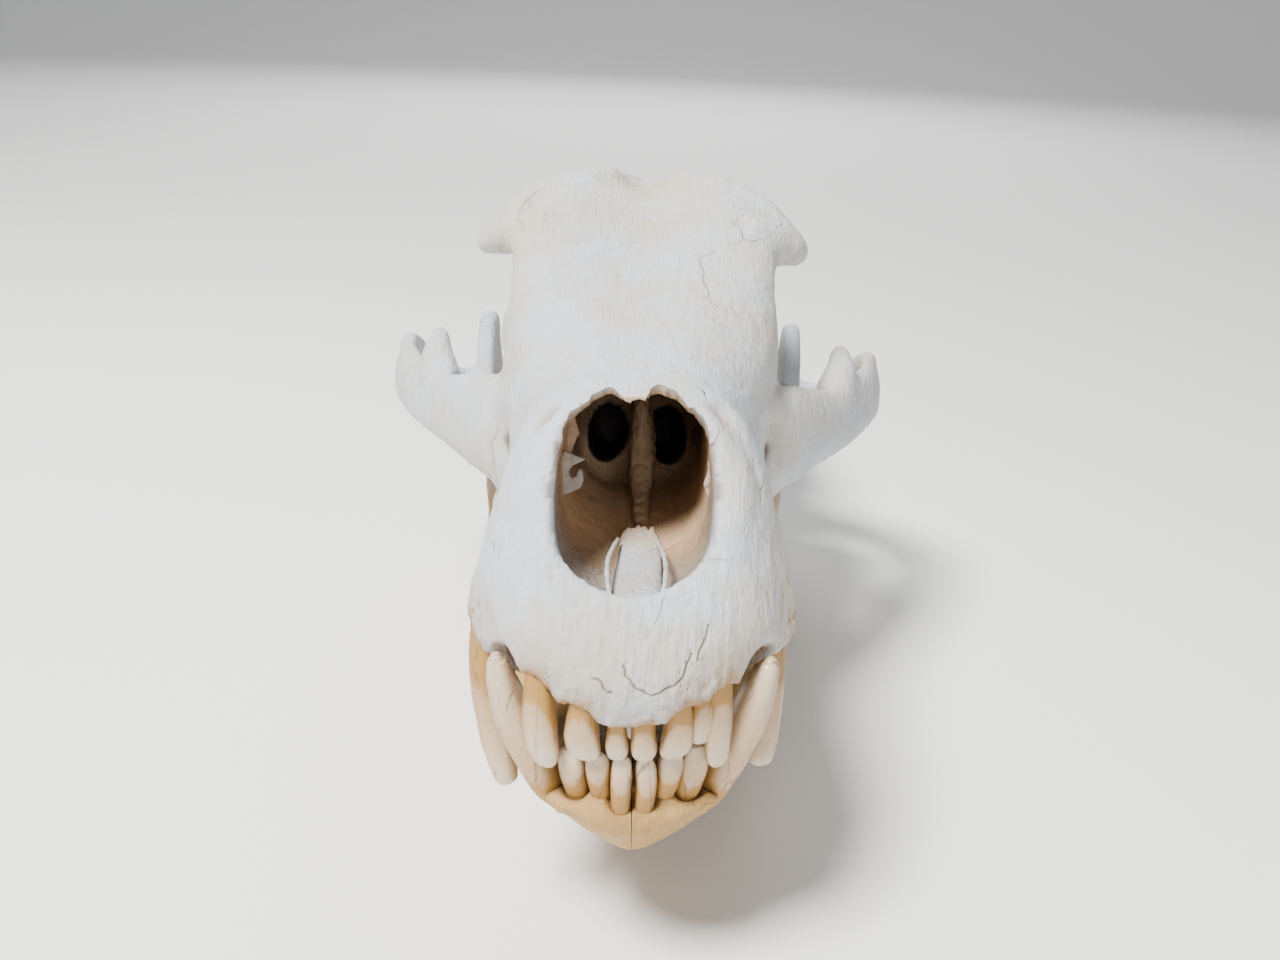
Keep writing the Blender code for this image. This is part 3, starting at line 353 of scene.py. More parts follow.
# The floor in metres: where its flat part ends, how round it sweeps up far away, and in how many steps.
FLOOR_RADIUS = 4.8
FLOOR_SIDES = 96
FLOOR_EDGE = 0.1   # a flat ring before the sweep, which keeps the floor's shading flat
SWEEP_RADIUS = 2.0
SWEEP_STEPS = 24

# Camera, fitted to about forty points of the skull.
CAMERA_PLACE = (-0.00317, -0.37937, 0.24182)
CAMERA_TURN = (66.029, -2.504, 0.292)
SENSOR_WIDTH = 36.0

# Lights: name, place and aim in metres, size of the disc, tint.
LIGHTS = (("key", (-0.6, -0.5, 1.45), (0, -0.05, 0.08), 0.5, (1.0, 0.99, 0.97)),
          ("fill", (0.2, -1.2, 0.5), (0, -0.05, 0.1), 0.5, (0.95, 0.97, 1.0)),
          ("backdrop", (0, 2.6, 2.0), (0, 2.6, 0), 2.0, (1.0, 1.0, 1.0)))


# Colour

def linear(code):
    """The linear colour, with alpha, of an sRGB hex code."""
    parts = [int(code[i:i + 2], 16) / 255 for i in (1, 3, 5)]
    return (*(c / 12.92 if c <= 0.04045 else ((c + 0.055) / 1.055) ** 2.4 for c in parts), 1.0)


def colour(name, description, code):
    return FloatVectorProperty(name=name, description=description, default=linear(code), size=4,
                               subtype="COLOR", min=0.0, max=1.0)


def number(name, description, value, unit="NONE"):
    return FloatProperty(name=name, description=description, default=value, unit=unit)


# Settings that a user would change

class BoneLooks(bpy.types.PropertyGroup):
    # The pale bone's blue cast is painted sky light, laid over the bone's own bleached white.
    pale: colour("Pale bone", "Bleached bone where it faces the light", "#C0C9D4")
    cream: colour("Cream bone", "Bone that keeps a little of its fat", "#C2B8A5")
    jaw_pale: colour("Pale jaw bone", "The lighter patches of the lower jaw", "#BE9B62")
    jaw_cream: colour("Cream jaw bone", "The darker patches of the lower jaw", "#A9854C")
    stain: colour("Stain", "Ochre stain round the teeth", "#9A7440")
    # The deep stain is the brown of pits and cracks, and is also laid on as painted shade in the nose, its
    # passages, the holes and the mouth.
    dark: colour("Deep stain", "Brown of pits, cracks and the depth of the nose", "#24160D")
    hollow: colour("Hollow", "Tan of the thin bone inside the nose", "#D0B08A")
    relief: number("Relief", "Height of the bone's fine unevenness", 0.001, "LENGTH")
    striation: number("Striation", "Width of the bone's fine streaks", 0.0014, "LENGTH")
    pore: number("Pore spacing", "Distance between pores in worn bone", 0.0015, "LENGTH")


class ToothLooks(bpy.types.PropertyGroup):
    enamel: colour("Enamel", "Cream of the crown", "#CDBA9C")
    enamel_warm: colour("Warm enamel", "Pink cream low on the crown", "#BE9A74")
    root: colour("Root", "Ochre of the neck and root", "#A87B34")
    line: colour("Craze line", "Brown of the fine lines in the enamel", "#5E4028")
    craze: number("Craze spacing", "Distance between craze lines", 0.006, "LENGTH")


class StageLooks(bpy.types.PropertyGroup):
    floor: colour("Floor", "Plain pale floor", "#F7F7F5")
    sky: colour("Surround", "Soft light from all round", "#EEF1F5")
    sky_strength: number("Surround strength", "How bright the surround is", 0.28)
    key_power: number("Key power", "Power of the large soft light", 70.0, "POWER")
    fill_power: number("Fill power", "Power of the fill light", 4.5, "POWER")
    backdrop_power: number("Backdrop power", "Power of the light on the far floor", 70.0, "POWER")
    lens: number("Lens", "Focal length in millimetres", 29.25)


# Curves and rings

def along(rail, y):
    """What a rail's line holds at y: a smooth curve through its points."""
    knots = np.array(rail, float)
    at, values = knots[:, 0], knots[:, 1:]
    slopes = np.gradient(values, at, axis=0)
    i = int(np.clip(np.searchsorted(at, y) - 1, 0, len(at) - 2))
    span = at[i + 1] - at[i]
    t = (y - at[i]) / span
    return (
        values[i] * (1 + 2 * t) * (1 - t) ** 2
        + slopes[i] * span * t * (1 - t) ** 2
        + values[i + 1] * t * t * (3 - 2 * t)
        + slopes[i + 1] * span * t * t * (t - 1)
    )


def curved(points, steps, closed=False):
    """Points on a smooth curve through the given ones, with so many steps from one to the next."""
    points = np.array(points, float)
    count = len(points)
    made = []
    for i in range(count if closed else count - 1):
        if closed:
            before, start, end, after = (points[(i + k) % count] for k in (-1, 0, 1, 2))
        else:
            start, end = points[i], points[i + 1]
            before = points[i - 1] if i > 0 else 2 * start - end
            after = points[i + 2] if i + 2 < count else 2 * end - start
        for t in np.linspace(0, 1, steps, endpoint=False):
            made.append(
                0.5
                * (
                    2 * start
                    + (end - before) * t
                    + (2 * before - 5 * start + 4 * end - after) * t**2
                    + (3 * start - before - 3 * end + after) * t**3
                )
            )
    if not closed:
        made.append(points[-1])
    return np.array(made)


def half_section(y):
    """Evenly spaced points from the roof round the side to the floor of the cranium at y."""
    roof, floor = along(ROOF, y)[0], along(FLOOR, y)[0]
    points = [(0, roof), *(along(rail, y) for rail in (CROWN, BROW, WALL, BASE)), (0, floor)]
    ring = [*points, *((-x, z) for x, z in points[-2:0:-1])]
    dense = curved(ring, 12, closed=True)[: 12 * (len(points) - 1) + 1]
    length = np.concatenate([[0], np.cumsum(np.linalg.norm(np.diff(dense, axis=0), axis=1))])
    wanted = np.linspace(0, length[-1], SECTION_POINTS // 2 + 1)
    return np.stack([np.interp(wanted, length, dense[:, k]) for k in (0, 1)], axis=1)


def oval(centre, across, up, half_width, half_height, power=2.0, count=24):
    """A ring of points in the plane of two directions: an ellipse at power 2, and squarer above it."""
    centre, across, up = Vector(centre), Vector(across).normalized(), Vector(up).normalized()
    ring = []
    for i in range(count):
        turn = 2 * math.pi * i / count
        c, s = math.cos(turn), math.sin(turn)
        ring.append(
            centre
            + across * (half_width * math.copysign(abs(c) ** (2 / power), c))
            + up * (half_height * math.copysign(abs(s) ** (2 / power), s))
        )
    return ring


def loft(shape, rings, shares=None):
    """Adds a closed body through rings of as many points each. The points keep shares as the crown."""
    crown = shape.verts.layers.float.get("crown") or shape.verts.layers.float.new("crown")
    loops = []
    for i, ring in enumerate(rings):
        verts = [shape.verts.new(p) for p in ring]
        for k, vert in enumerate(verts):
            vert[crown] = shares[i][k] if shares else 0.0
        loops.append([shape.edges.new((verts[k - 1], verts[k])) for k in range(len(verts))])
    for first, second in zip(loops, loops[1:]):
        bmesh.ops.bridge_loops(shape, edges=first + second)
    bmesh.ops.holes_fill(shape, edges=loops[0] + loops[-1])


def limb(shape, knots, sides=18):
    """Adds a round body along a path of (x, y, z, radius), with its ends drawn in."""
    path = [Vector(k[:3]) for k in knots]
    rings = []
    for i, knot in enumerate(knots):
        ahead = (path[min(i + 1, len(path) - 1)] - path[max(i - 1, 0)]).normalized()
        across = ahead.orthogonal() if abs(ahead.z) > 0.9 else ahead.cross(Vector(UP))
        rings.append(oval(path[i], across, across.cross(ahead), knot[3], knot[3], count=sides))
    for end, inner in ((0, 1), (-1, -2)):
        out = (path[end] - path[inner]).normalized() * knots[end][3] * 0.6
        cap = [path[end] + out + (p - path[end]) * 0.55 for p in rings[end]]
        rings.insert(0 if end == 0 else len(rings), cap)
    loft(shape, rings)


def ball(shape, centre, radii, tilt=0.0):
    """Adds an ellipsoid, tilted about x."""
    made = bmesh.ops.create_uvsphere(shape, u_segments=24, v_segments=16, radius=1)
    place = Matrix.Translation(centre) @ Matrix.Rotation(tilt, 4, "X") @ Matrix.Diagonal((*radii, 1))
    bmesh.ops.transform(shape, matrix=place, verts=made["verts"])


def slab(shape, outline, place):
    """Adds a plate between two copies of an outline, which place(point, face) puts on face -1 or 1."""
    loft(shape, [[place(p, face) for p in outline] for face in (-1, 1)])


# Meshes

def temporary(shape):
    """An object of a finished bmesh, for its modifiers to work on."""
    bmesh.ops.recalc_face_normals(shape, faces=shape.faces)
    mesh = bpy.data.meshes.new("temporary")
    shape.to_mesh(mesh)
    shape.free()
    obj = bpy.data.objects.new("temporary", mesh)
    bpy.context.scene.collection.objects.link(obj)
    return obj


def evaluated(obj):
    """The mesh that an object's modifiers make. The object is removed."""
    bpy.context.view_layer.update()
    mesh = bpy.data.meshes.new_from_object(obj.evaluated_get(bpy.context.evaluated_depsgraph_get()))
    bpy.data.objects.remove(obj)
    return mesh


def fused(shape, grid, passes):
    """All closed bodies of a bmesh as one, laid on a grid and eased."""
    obj = temporary(shape)
    remesh = obj.modifiers.new("grid", "REMESH")
    remesh.mode = "VOXEL"
    remesh.voxel_size = grid
    ease = obj.modifiers.new("ease", "SMOOTH")
    ease.factor = EASE_FACTOR
    ease.iterations = passes
    return evaluated(obj)


def carved(mesh, cutters):
    """A mesh less the bodies of some bmeshes."""
    obj = bpy.data.objects.new("carved", mesh)
    bpy.context.scene.collection.objects.link(obj)
    tools = bpy.data.collections.new("tools")
    for cutter in cutters:
        tool = temporary(cutter)
        bpy.context.scene.collection.objects.unlink(tool)
        tools.objects.link(tool)
    cut = obj.modifiers.new("cut", "BOOLEAN")
    cut.operation = "DIFFERENCE"
    cut.solver = "MANIFOLD"
    cut.operand_type = "COLLECTION"
    cut.collection = tools
    made = evaluated(obj)
    for tool in list(tools.objects):
        bpy.data.objects.remove(tool)
    bpy.data.collections.remove(tools)
    return made


def as_shape(mesh):
    shape = bmesh.new()
    shape.from_mesh(mesh)
    bpy.data.meshes.remove(mesh)
    return shape


def drop_scraps(shape):
    """Only the closed surface with the most vertices stays."""
    unseen = set(shape.verts)
    groups = []
    while unseen:
        front, group = [unseen.pop()], []
        while front:
            vert = front.pop()
            group.append(vert)
            for edge in vert.link_edges:
                other = edge.other_vert(vert)
                if other in unseen:
                    unseen.remove(other)
                    front.append(other)
        groups.append(group)
    groups.sort(key=len)
    for group in groups[:-1]:
        bmesh.ops.delete(shape, geom=group, context="VERTS")


def refined(shape, inside, passes=1):
    """Halves the faces whose vertices lie in a region, and eases them."""
    edges = [e for e in shape.edges if all(inside(v.co) for v in e.verts)]
    bmesh.ops.subdivide_edges(shape, edges=edges, cuts=1, use_grid_fill=True, smooth=0.0)
    verts = [v for v in shape.verts if inside(v.co)]
    for _ in range(passes):
        bmesh.ops.smooth_vert(shape, verts=verts, factor=EASE_FACTOR, use_axis_x=True, use_axis_y=True,
                              use_axis_z=True)


def set_layer(shape, name, values):
    """Keeps a value for each vertex, in their order, under a name that the materials read."""
    layer = shape.verts.layers.float.get(name) or shape.verts.layers.float.new(name)
    for vert, value in zip(shape.verts, values):
        vert[layer] = value


def push(shape, amount):
    """Moves each vertex along its normal by amount(vertex)."""
    shape.normal_update()
    moves = [(v, v.normal * amount(v)) for v in shape.verts]
    for vert, move in moves:
        vert.co += move


def settled(shape):
    """Twists, tips and scales a finished shape to where the solids are."""
    for vert in shape.verts:
        turn = math.radians(np.interp(vert.co.y, *zip(*TWIST)))
        x, z = vert.co.x, vert.co.z - TWIST_AXIS
        vert.co.x = x * math.cos(turn) + z * math.sin(turn)
        vert.co.z = z * math.cos(turn) - x * math.sin(turn) + TWIST_AXIS
    tip = -math.atan2(SEAT_REAR[1] - SEAT_FRONT[1], SEAT_REAR[0] - SEAT_FRONT[0])
    turn = Matrix.Rotation(tip, 4, "X")
    level = (turn @ Vector((0, *SEAT_FRONT))).z + SEAT_FLAT
    place = Matrix.Scale(MM, 4) @ Matrix.Translation((0, SEAT_SHIFT, -level)) @ turn
    bmesh.ops.transform(shape, matrix=place, verts=shape.verts)


def cut_flat(shape, point, normal):
    """Cuts away what lies beyond a plane and closes the cut."""
    geometry = [*shape.verts, *shape.edges, *shape.faces]
    bmesh.ops.bisect_plane(shape, geom=geometry, plane_co=point, plane_no=normal, clear_outer=True)
    bmesh.ops.holes_fill(shape, edges=[e for e in shape.edges if e.is_boundary])


def piece(name, shape, material, nodes, levels=0):
    """A finished piece at the origin, which stands for nodes of the solids."""
    bmesh.ops.recalc_face_normals(shape, faces=shape.faces)
    mesh = bpy.data.meshes.new(name)
    shape.to_mesh(mesh)
    shape.free()
    mesh.shade_smooth()
    mesh.set_sharp_from_angle(angle=SHARP_EDGE)
    mesh.materials.append(material)
    obj = bpy.data.objects.new(name, mesh)
    bpy.context.scene.collection.objects.link(obj)
    if levels:
        finer = obj.modifiers.new("finer", "SUBSURF")
        finer.levels = levels
        finer.render_levels = levels
    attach(obj, "root")
    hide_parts(*nodes)


# Materials, with the sizes of their patterns in metres

BROAD_TINT = 0.055
PATCH = 0.014
MOTTLE = 0.004
STREAK_STRETCH = (1.0, 0.22, 0.16)
WORN_PATCH = 0.006
WANDER = 0.008
WANDER_REACH = 0.006
CRACK_CELL = 0.034
CRACK_PATCH = 0.03
TOOTH_PATCH = 0.007
TOOTH_MOTTLE = 0.0025
TOOTH_STREAK = 0.0013
TOOTH_RELIEF = 0.0002
CRAZE_STRETCH = (1.0, 1.0, 0.12)


def add_node(tree, kind, inputs, **settings):
    """A node with its settings, and its inputs set to a value or linked to another node's output."""
    node = tree.nodes.new(kind)
    for key, value in settings.items():
        setattr(node, key, value)
    for key, value in inputs.items():
        if isinstance(value, bpy.types.NodeSocket):
            tree.links.new(value, node.inputs[key])
        else:
            node.inputs[key].default_value = value
    return node


def mixed(tree, share, first, second):
    """The colour between two, by a share."""
    return add_node(tree, "ShaderNodeMix", {0: share, 6: first, 7: second}, data_type="RGBA").outputs[2]


def painted(tree, base, tints):
    """A colour with others laid over it in turn, each by its share."""
    for share, tint in tints:
        base = mixed(tree, share, base, tint)
    return base


def ranged(tree, value, low, high, to_low=0.0, to_high=1.0):
    """A value taken from one range to another, held at the ends."""
    inputs = {0: value, 1: low, 2: high, 3: to_low, 4: to_high}
    return add_node(tree, "ShaderNodeMapRange", inputs).outputs[0]


def product(tree, first, second):
    return add_node(tree, "ShaderNodeMath", {0: first, 1: second}, operation="MULTIPLY").outputs[0]


def added(tree, value, factor, more):
    """A value times a factor, added to another value."""
    inputs = {0: value, 1: factor, 2: more}
    return add_node(tree, "ShaderNodeMath", inputs, operation="MULTIPLY_ADD").outputs[0]


def stretched(tree, vector, scale):
    return add_node(tree, "ShaderNodeMapping", {"Vector": vector, "Scale": scale}).outputs[0]


def clouds(tree, vector, size, detail=4.0):
    """Soft noise whose features are of the given size in metres."""
    inputs = {"Vector": vector, "Scale": 1 / size, "Detail": detail, "Roughness": 0.6}
    return add_node(tree, "ShaderNodeTexNoise", inputs).outputs["Fac"]


def cell_distance(tree, vector, size, feature="F1"):
    """Distance to the middle or the edge of cells of the given size in metres."""
    inputs = {"Vector": vector, "Scale": 1 / size}
    return add_node(tree, "ShaderNodeTexVoronoi", inputs, feature=feature).outputs["Distance"]


def attribute(tree, name):
    return add_node(tree, "ShaderNodeAttribute", {}, attribute_name=name).outputs["Fac"]


def new_material(name):
    """A material, its node tree and the place of a point on its piece."""
    material = bpy.data.materials.new(name)
    material.use_nodes = True
    tree = material.node_tree
    return material, tree, add_node(tree, "ShaderNodeTexCoord", {}).outputs["Object"]


def set_surface(tree, base, roughness, index, height, strength, depth):
    """Gives the shader its colour, roughness, refractive index and bump, and hands it back."""
    shader = tree.nodes["Principled BSDF"]
    tree.links.new(base, shader.inputs["Base Color"])
    tree.links.new(roughness, shader.inputs["Roughness"])
    shader.inputs["IOR"].default_value = index
    bump = add_node(tree, "ShaderNodeBump", {"Height": height, "Strength": strength, "Distance": depth})
    tree.links.new(bump.outputs[0], shader.inputs["Normal"])
    return shader


def dry_bone(name, pale, cream):
    """Bleached, dried bone: chalky, streaked along its growth, with open pores where it is worn."""
    looks = bpy.context.scene.bone_looks
    material, tree, place = new_material(name)
    layer = {key: attribute(tree, key) for key in ("stain", "hollow", "worn", "shade", "bleach", "cavity")}
    broad, patches = clouds(tree, place, BROAD_TINT), clouds(tree, place, PATCH)
    mottle = clouds(tree, place, MOTTLE, 6.0)
    streaks = clouds(tree, stretched(tree, place, STREAK_STRETCH), looks.striation, 3.0)
    worn = product(tree, ranged(tree, clouds(tree, place, WORN_PATCH, 3.0), 0.5, 0.62), layer["worn"])
    pore = product(tree, ranged(tree, cell_distance(tree, place, looks.pore), 0.26, 0.1), worn)
    wander = add_node(tree, "ShaderNodeTexNoise", {"Vector": place, "Scale": 1 / WANDER})
    bent = {0: wander.outputs["Color"], 1: (WANDER_REACH,) * 3, 2: place}
    bend = add_node(tree, "ShaderNodeVectorMath", bent, operation="MULTIPLY_ADD")
    crack = cell_distance(tree, bend.outputs[0], CRACK_CELL, "DISTANCE_TO_EDGE")
    hairline = product(tree, ranged(tree, crack, 0.011, 0.003),
                       ranged(tree, clouds(tree, place, CRACK_PATCH, 2.0), 0.56, 0.64))
    base = painted(tree, mixed(tree, ranged(tree, broad, 0.38, 0.66), pale, cream), (
        (ranged(tree, patches, 0.5, 0.85, 0.0, 0.4), cream),
        (layer["bleach"], looks.pale),
        # Painted shade: creases and hollows of the surface are darkened with the stain colour.
        (product(tree, layer["cavity"], 0.5), looks.stain),
        (ranged(tree, mottle, 0.35, 0.75, 0.0, 0.1), looks.stain),
        (ranged(tree, streaks, 0.62, 0.3, 0.0, 0.1), looks.stain),
        (product(tree, layer["stain"], ranged(tree, patches, 0.25, 0.6, 0.45, 1.0)), looks.stain),
        (ranged(tree, layer["hollow"], 0.0, 0.5), looks.hollow),
        # Painted shade: the far back of the nose darkens.
        (ranged(tree, layer["hollow"], 0.7, 1.0, 0.0, 0.15), looks.dark),
        # The shade layer is mostly painted shade where light does not reach; it also darkens the gaps at the
        # sockets and the cracks.
        (product(tree, layer["shade"], ranged(tree, mottle, 0.3, 0.7, 0.8, 1.0)), looks.dark),
        (product(tree, pore, ranged(tree, mottle, 0.3, 0.6, 0.1, 0.4)), looks.dark),
        (product(tree, hairline, 0.14), looks.dark),
    ))
    height = added(tree, hairline, -0.6, added(tree, pore, -0.9, added(tree, streaks, 0.7, mottle)))
    roughness = ranged(tree, mottle, 0.3, 0.7, 0.52, 0.72)
    shader = set_surface(tree, base, roughness, 1.5, height, 0.85, looks.relief)
    shader.inputs["Specular IOR Level"].default_value = 0.35
    return material


def tooth_enamel():
    """Worn enamel on an ochre root: smooth and half glossy, with brown craze lines down the crown."""
    looks = bpy.context.scene.tooth_looks
    material, tree, place = new_material("tooth_enamel")
    crown, edge = attribute(tree, "crown"), attribute(tree, "edge")
    patches, mottle = clouds(tree, place, TOOTH_PATCH), clouds(tree, place, TOOTH_MOTTLE)
    upright = stretched(tree, place, CRAZE_STRETCH)
    streaks = clouds(tree, upright, TOOTH_STREAK, 3.0)
    lines = cell_distance(tree, upright, looks.craze, "DISTANCE_TO_EDGE")
    craze = product(tree, ranged(tree, lines, 0.045, 0.012), ranged(tree, patches, 0.48, 0.6))
    uneven = added(tree, patches, 0.34, crown)
    grown = ranged(tree, uneven, 0.40, 0.47)
    base = mixed(tree, ranged(tree, uneven, 0.35, 0.95), looks.enamel_warm, looks.enamel)
    base = painted(tree, base, (
        (ranged(tree, streaks, 0.45, 0.75, 0.0, 0.35), looks.enamel_warm),
        (ranged(tree, uneven, 0.9, 0.45, 0.0, 0.35), looks.root),
    ))
    base = painted(tree, mixed(tree, grown, looks.root, base), (
        # The tooth's sides are darkened with root ochre and brown: stain and painted shade together.
        (product(tree, edge, ranged(tree, patches, 0.35, 0.6, 0.25, 0.75)), looks.root),
        (product(tree, edge, ranged(tree, mottle, 0.4, 0.7, 0.15, 0.45)), looks.line),
        (ranged(tree, mottle, 0.5, 0.8, 0.0, 0.3), looks.root),
        (product(tree, craze, 0.65), looks.line),
    ))
    roughness = ranged(tree, grown, 0.0, 1.0, 0.6, 0.34)
    set_surface(tree, base, roughness, 1.62, added(tree, craze, -0.8, streaks), 0.35, TOOTH_RELIEF)
    return material


def material_named(name):
    """The material of that name, made when it is first asked for."""
    found = bpy.data.materials.get(name)
    if found:
        return found
    looks = bpy.context.scene.bone_looks
    if name == "bleached_bone":
        return dry_bone(name, looks.pale, looks.cream)
    if name == "cream_jaw_bone":
        return dry_bone(name, looks.jaw_pale, looks.jaw_cream)
    return tooth_enamel()


# Sockets: where teeth leave the bone

SOCKET_REACH = (3, 6)   # the part of an incisor, from its neck on, that its socket's edge goes round

def socket_lines(incisors, canines, cheek):
    """The teeth's axes near their necks, as (start, end, radius)."""
    lines = []
    for _, base, middle, _, width, share, _ in incisors:
        start, ahead = Vector(base), (Vector(middle) - Vector(base)).normalized()
        near, far = (start + ahead * reach for reach in SOCKET_REACH)
        lines.append((near, far, width * (share + 1) / 4))
    for knots in canines.values():
        upper, lower = Vector(knots[1][:3]), Vector(knots[2][:3])
        lines.append((upper.lerp(lower, 0.5), lower, (knots[2][3] + knots[2][4]) / 2))
    for side in SIDE_NAMES:
        for front, back, x, half_width, _, _, neck in cheek:
            start, end = (Vector((side * x, y, neck)) for y in (front + half_width, back - half_width))
            lines.append((start, end, half_width))
    return lines


def segment_distance(point, start, end):
    span = end - start
    share = max(0.0, min(1.0, (point - start).dot(span) / max(span.length_squared, 1e-9)))
    return (point - start - span * share).length


def socket_distance(point, lines):
    """How far a point is from the nearest tooth's side."""
    return min(segment_distance(point, start, end) - radius for start, end, radius in lines)


def socket_edge(point, near, depth, lip, lip_place, lip_width):
    """How far the bone stands out round a tooth: a gap beside it and a bumpy lip farther out."""
    bumps = 0.6 + rough(point, 4.0)
    return -depth * bell(near, GAP_WIDTH) + lip * bell(near - lip_place, lip_width) * bumps


def bell(distance, width):
    return math.exp(-((distance / width) ** 2))


def eased(value, low, high):
    """0 below low and 1 above high, smooth between."""
    t = max(0.0, min(1.0, (value - low) / (high - low)))
    return t * t * (3 - 2 * t)


def within(value, start, full, fading, end):
    """1 from full to fading and 0 outside start to end, smooth between."""
    return eased(value, start, full) * (1 - eased(value, fading, end))


def rough(point, size):
    """Smooth noise from about -1 to 1 whose features have the given size."""
    return noise.fractal(point / size, 1.0, 2.0, 3)


def pits(point, size, share):
    """Depth from 0 to 1 of round pits about a size apart, which take up a share of it."""
    distance = noise.voronoi(point / size)[0][0]
    return 1.0 - eased(distance, share * 0.4, share)


# The cranium

def cranium_parts(shape):
    """Adds the bodies that the cranium and its arches are made of, to be fused."""
    rings = []
    for y in np.linspace(ROOF[0][0], ROOF[-1][0], CORE_RINGS):
        half = half_section(y)
        rings.append([(x, y, z) for x, z in half] + [(-x, y, z) for x, z in half[-2:0:-1]])
    loft(shape, rings)
    for side in SIDE_NAMES:
        knots = curved([(side * k[0], *k[1:]) for k in ARCH], 3)
        path = [Vector(k[:3]) for k in knots]
        bars = []
        for i, knot in enumerate(knots):
            ahead = path[min(i + 1, len(path) - 1)] - path[max(i - 1, 0)]
            ahead.z = 0
            up = (-side * ARCH_LEAN, 0, 1)
            bars.append(oval(path[i], ahead.cross(Vector(UP)), up, knot[3], knot[4], ARCH_SQUARENESS))
        loft(shape, bars)
        tip = Vector(POSTORBITAL[-1]) - Vector((POSTORBITAL_CUT_SHORT[side], 0, 0, 0))
        for knots in (*SIDE_LIMBS, COLLARS[side], (*POSTORBITAL[:-1], tip)):
            limb(shape, curved([(side * k[0], *k[1:]) for k in knots], 3))
        for middle, radii, tilt in SIDE_MASSES:
            ball(shape, (side * middle[0], *middle[1:]), radii, tilt)
        x, half = PTERYGOID_PLACE
        slab(shape, PTERYGOID, lambda p, face: (side * (x + half * face), p[0], p[1]))


def two_part_oval(centre, half_width, half_height, above, below, count):
    """An upright ring whose upper and lower half differ in squareness."""
    upper, lower = (oval(centre, ACROSS, UP, half_width, half_height, power, count)
                    for power in (above, below))
    return [high if high.z > centre[2] else low for high, low in zip(upper, lower)]


def nose_cutters():
    """The nose's cavity and the two passages behind it."""
    rings = []
    for y in np.linspace(NOSE[0][0], NOSE[-1][0], NOSE_RINGS):
        half_width, low, high, above, below = along(NOSE, y)
        middle = (0, y, (low + high) / 2)
        rings.append(two_part_oval(middle, half_width, (high - low) / 2, above, below, RING_SIDES))
    cavity = bmesh.new()
    loft(cavity, rings)
    passages = [ring_cutter([(*place, *PASSAGE_RADII, 0, 1) for place in PASSAGE], side=side)
                for side in SIDE_NAMES]
    return [cavity, *passages]


def nasal_edge_cutter():
    """The outline of the roof's broken edge, made ragged and drawn down into the nose."""
    made = bmesh.new()
    level, lean = EDGE_UNDERCUT
    edge = [(x + 0.25 * rough(Vector((x, y, 0)), EDGE_GRAIN), y + 0.5 * rough(Vector((y, x, 5)), EDGE_GRAIN))
            for x, y in curved(NASAL_EDGE, 6)]
    low, high = ([(x, y + (level - z) * lean, z) for x, y in edge] for z in EDGE_LEVELS)
    loft(made, [low, high])
    return made


def ring_cutter(rings, across=ACROSS, side=1, power=2.0):
    """A body through rings of (x, y, z, half width, half height, and the y and z of the way up)."""
    made = bmesh.new()
    loft(made, [oval((side * x, y, z), across, (0, lean, up), wide, high, power)
                for x, y, z, wide, high, lean, up in rings])
    return made


def socket_cutters():
    """Arches in the bone's edge, in front of the roots of the upper incisors."""
    made = []
    for x, y, top, half_width in SOCKET_ARCHES:
        arch = bmesh.new()
        ball(arch, (x, y, top - SOCKET_ARCH_RISE), (half_width, SOCKET_ARCH_DEPTH, SOCKET_ARCH_RISE))
        made.append(arch)
    return made


def other_cutters():
    """The infraorbital holes, the room for the lower canines' tips, the choana and the spine's hole."""
    made = []
    for side in SIDE_NAMES:
        rings = [(*row, 0, 1) for row in INFRAORBITAL]
        made.append(ring_cutter(rings, (1, side * INFRAORBITAL_TURN, 0), side))
        middle, radii, tilt = CANINE_ROOM
        room = bmesh.new()
        ball(room, (side * middle[0], *middle[1:]), radii, tilt)
        made.append(room)
    made.append(ring_cutter([(0, y, z, wide, deep, 1, lean) for y, z, wide, deep, lean in CHOANA], power=3))
    made.append(ring_cutter([(0, y, z, wide, high, 0, 1) for y, z, wide, high in SPINE_HOLE]))
    return made


def in_nose(point, margin):
    """Whether a point is in the nose's cavity, or within a margin of its wall."""
    if not NOSE_SPAN[0] < point.y < NOSE_SPAN[1]:
        return False
    half_width, low, high, above, below = along(NOSE, min(point.y, NOSE_BACK))
    up = point.z - (low + high) / 2
    power = above if up > 0 else below
    across = abs(point.x) / (half_width + margin)
    return across**power + (abs(up) / ((high - low) / 2 + margin)) ** power < 1


def line_distance(point, knots):
    """How far a point is from a line through knots."""
    return min(segment_distance(point, Vector(a), Vector(b)) for a, b in zip(knots, knots[1:]))


def folded(point):
    """A point with its x made positive, for what lies on both sides of the middle."""
    return Vector((abs(point.x), point.y, point.z))


def rim_distance(point, knots):
    """How far a point is from a line that lies on both sides of the middle."""
    return line_distance(folded(point), knots)


def crack_distance(point):
    """How far a point on the front face is from the nearest crack."""
    if point.y > CRACKS_BACK:
        return FAR_AWAY
    wander = 0.35 * rough(point, 1.5)
    return min(line_distance(Vector((point.x + wander, point.z + wander)), crack) for crack in CRACKS)


def nose_shade(point):
    """How much painted shade the wall of the nose gets: greyed at the floor in front, and brown high up at
    the back.
    """
    if not in_nose(point, NOSE_MARGIN):
        return 0.0
    front = 0.6 * within(point.y, *NOSE_FRONT_SHADE)
    return max(front, 0.65 * eased(point.y, 85, 115) * eased(point.z, 102, 114))


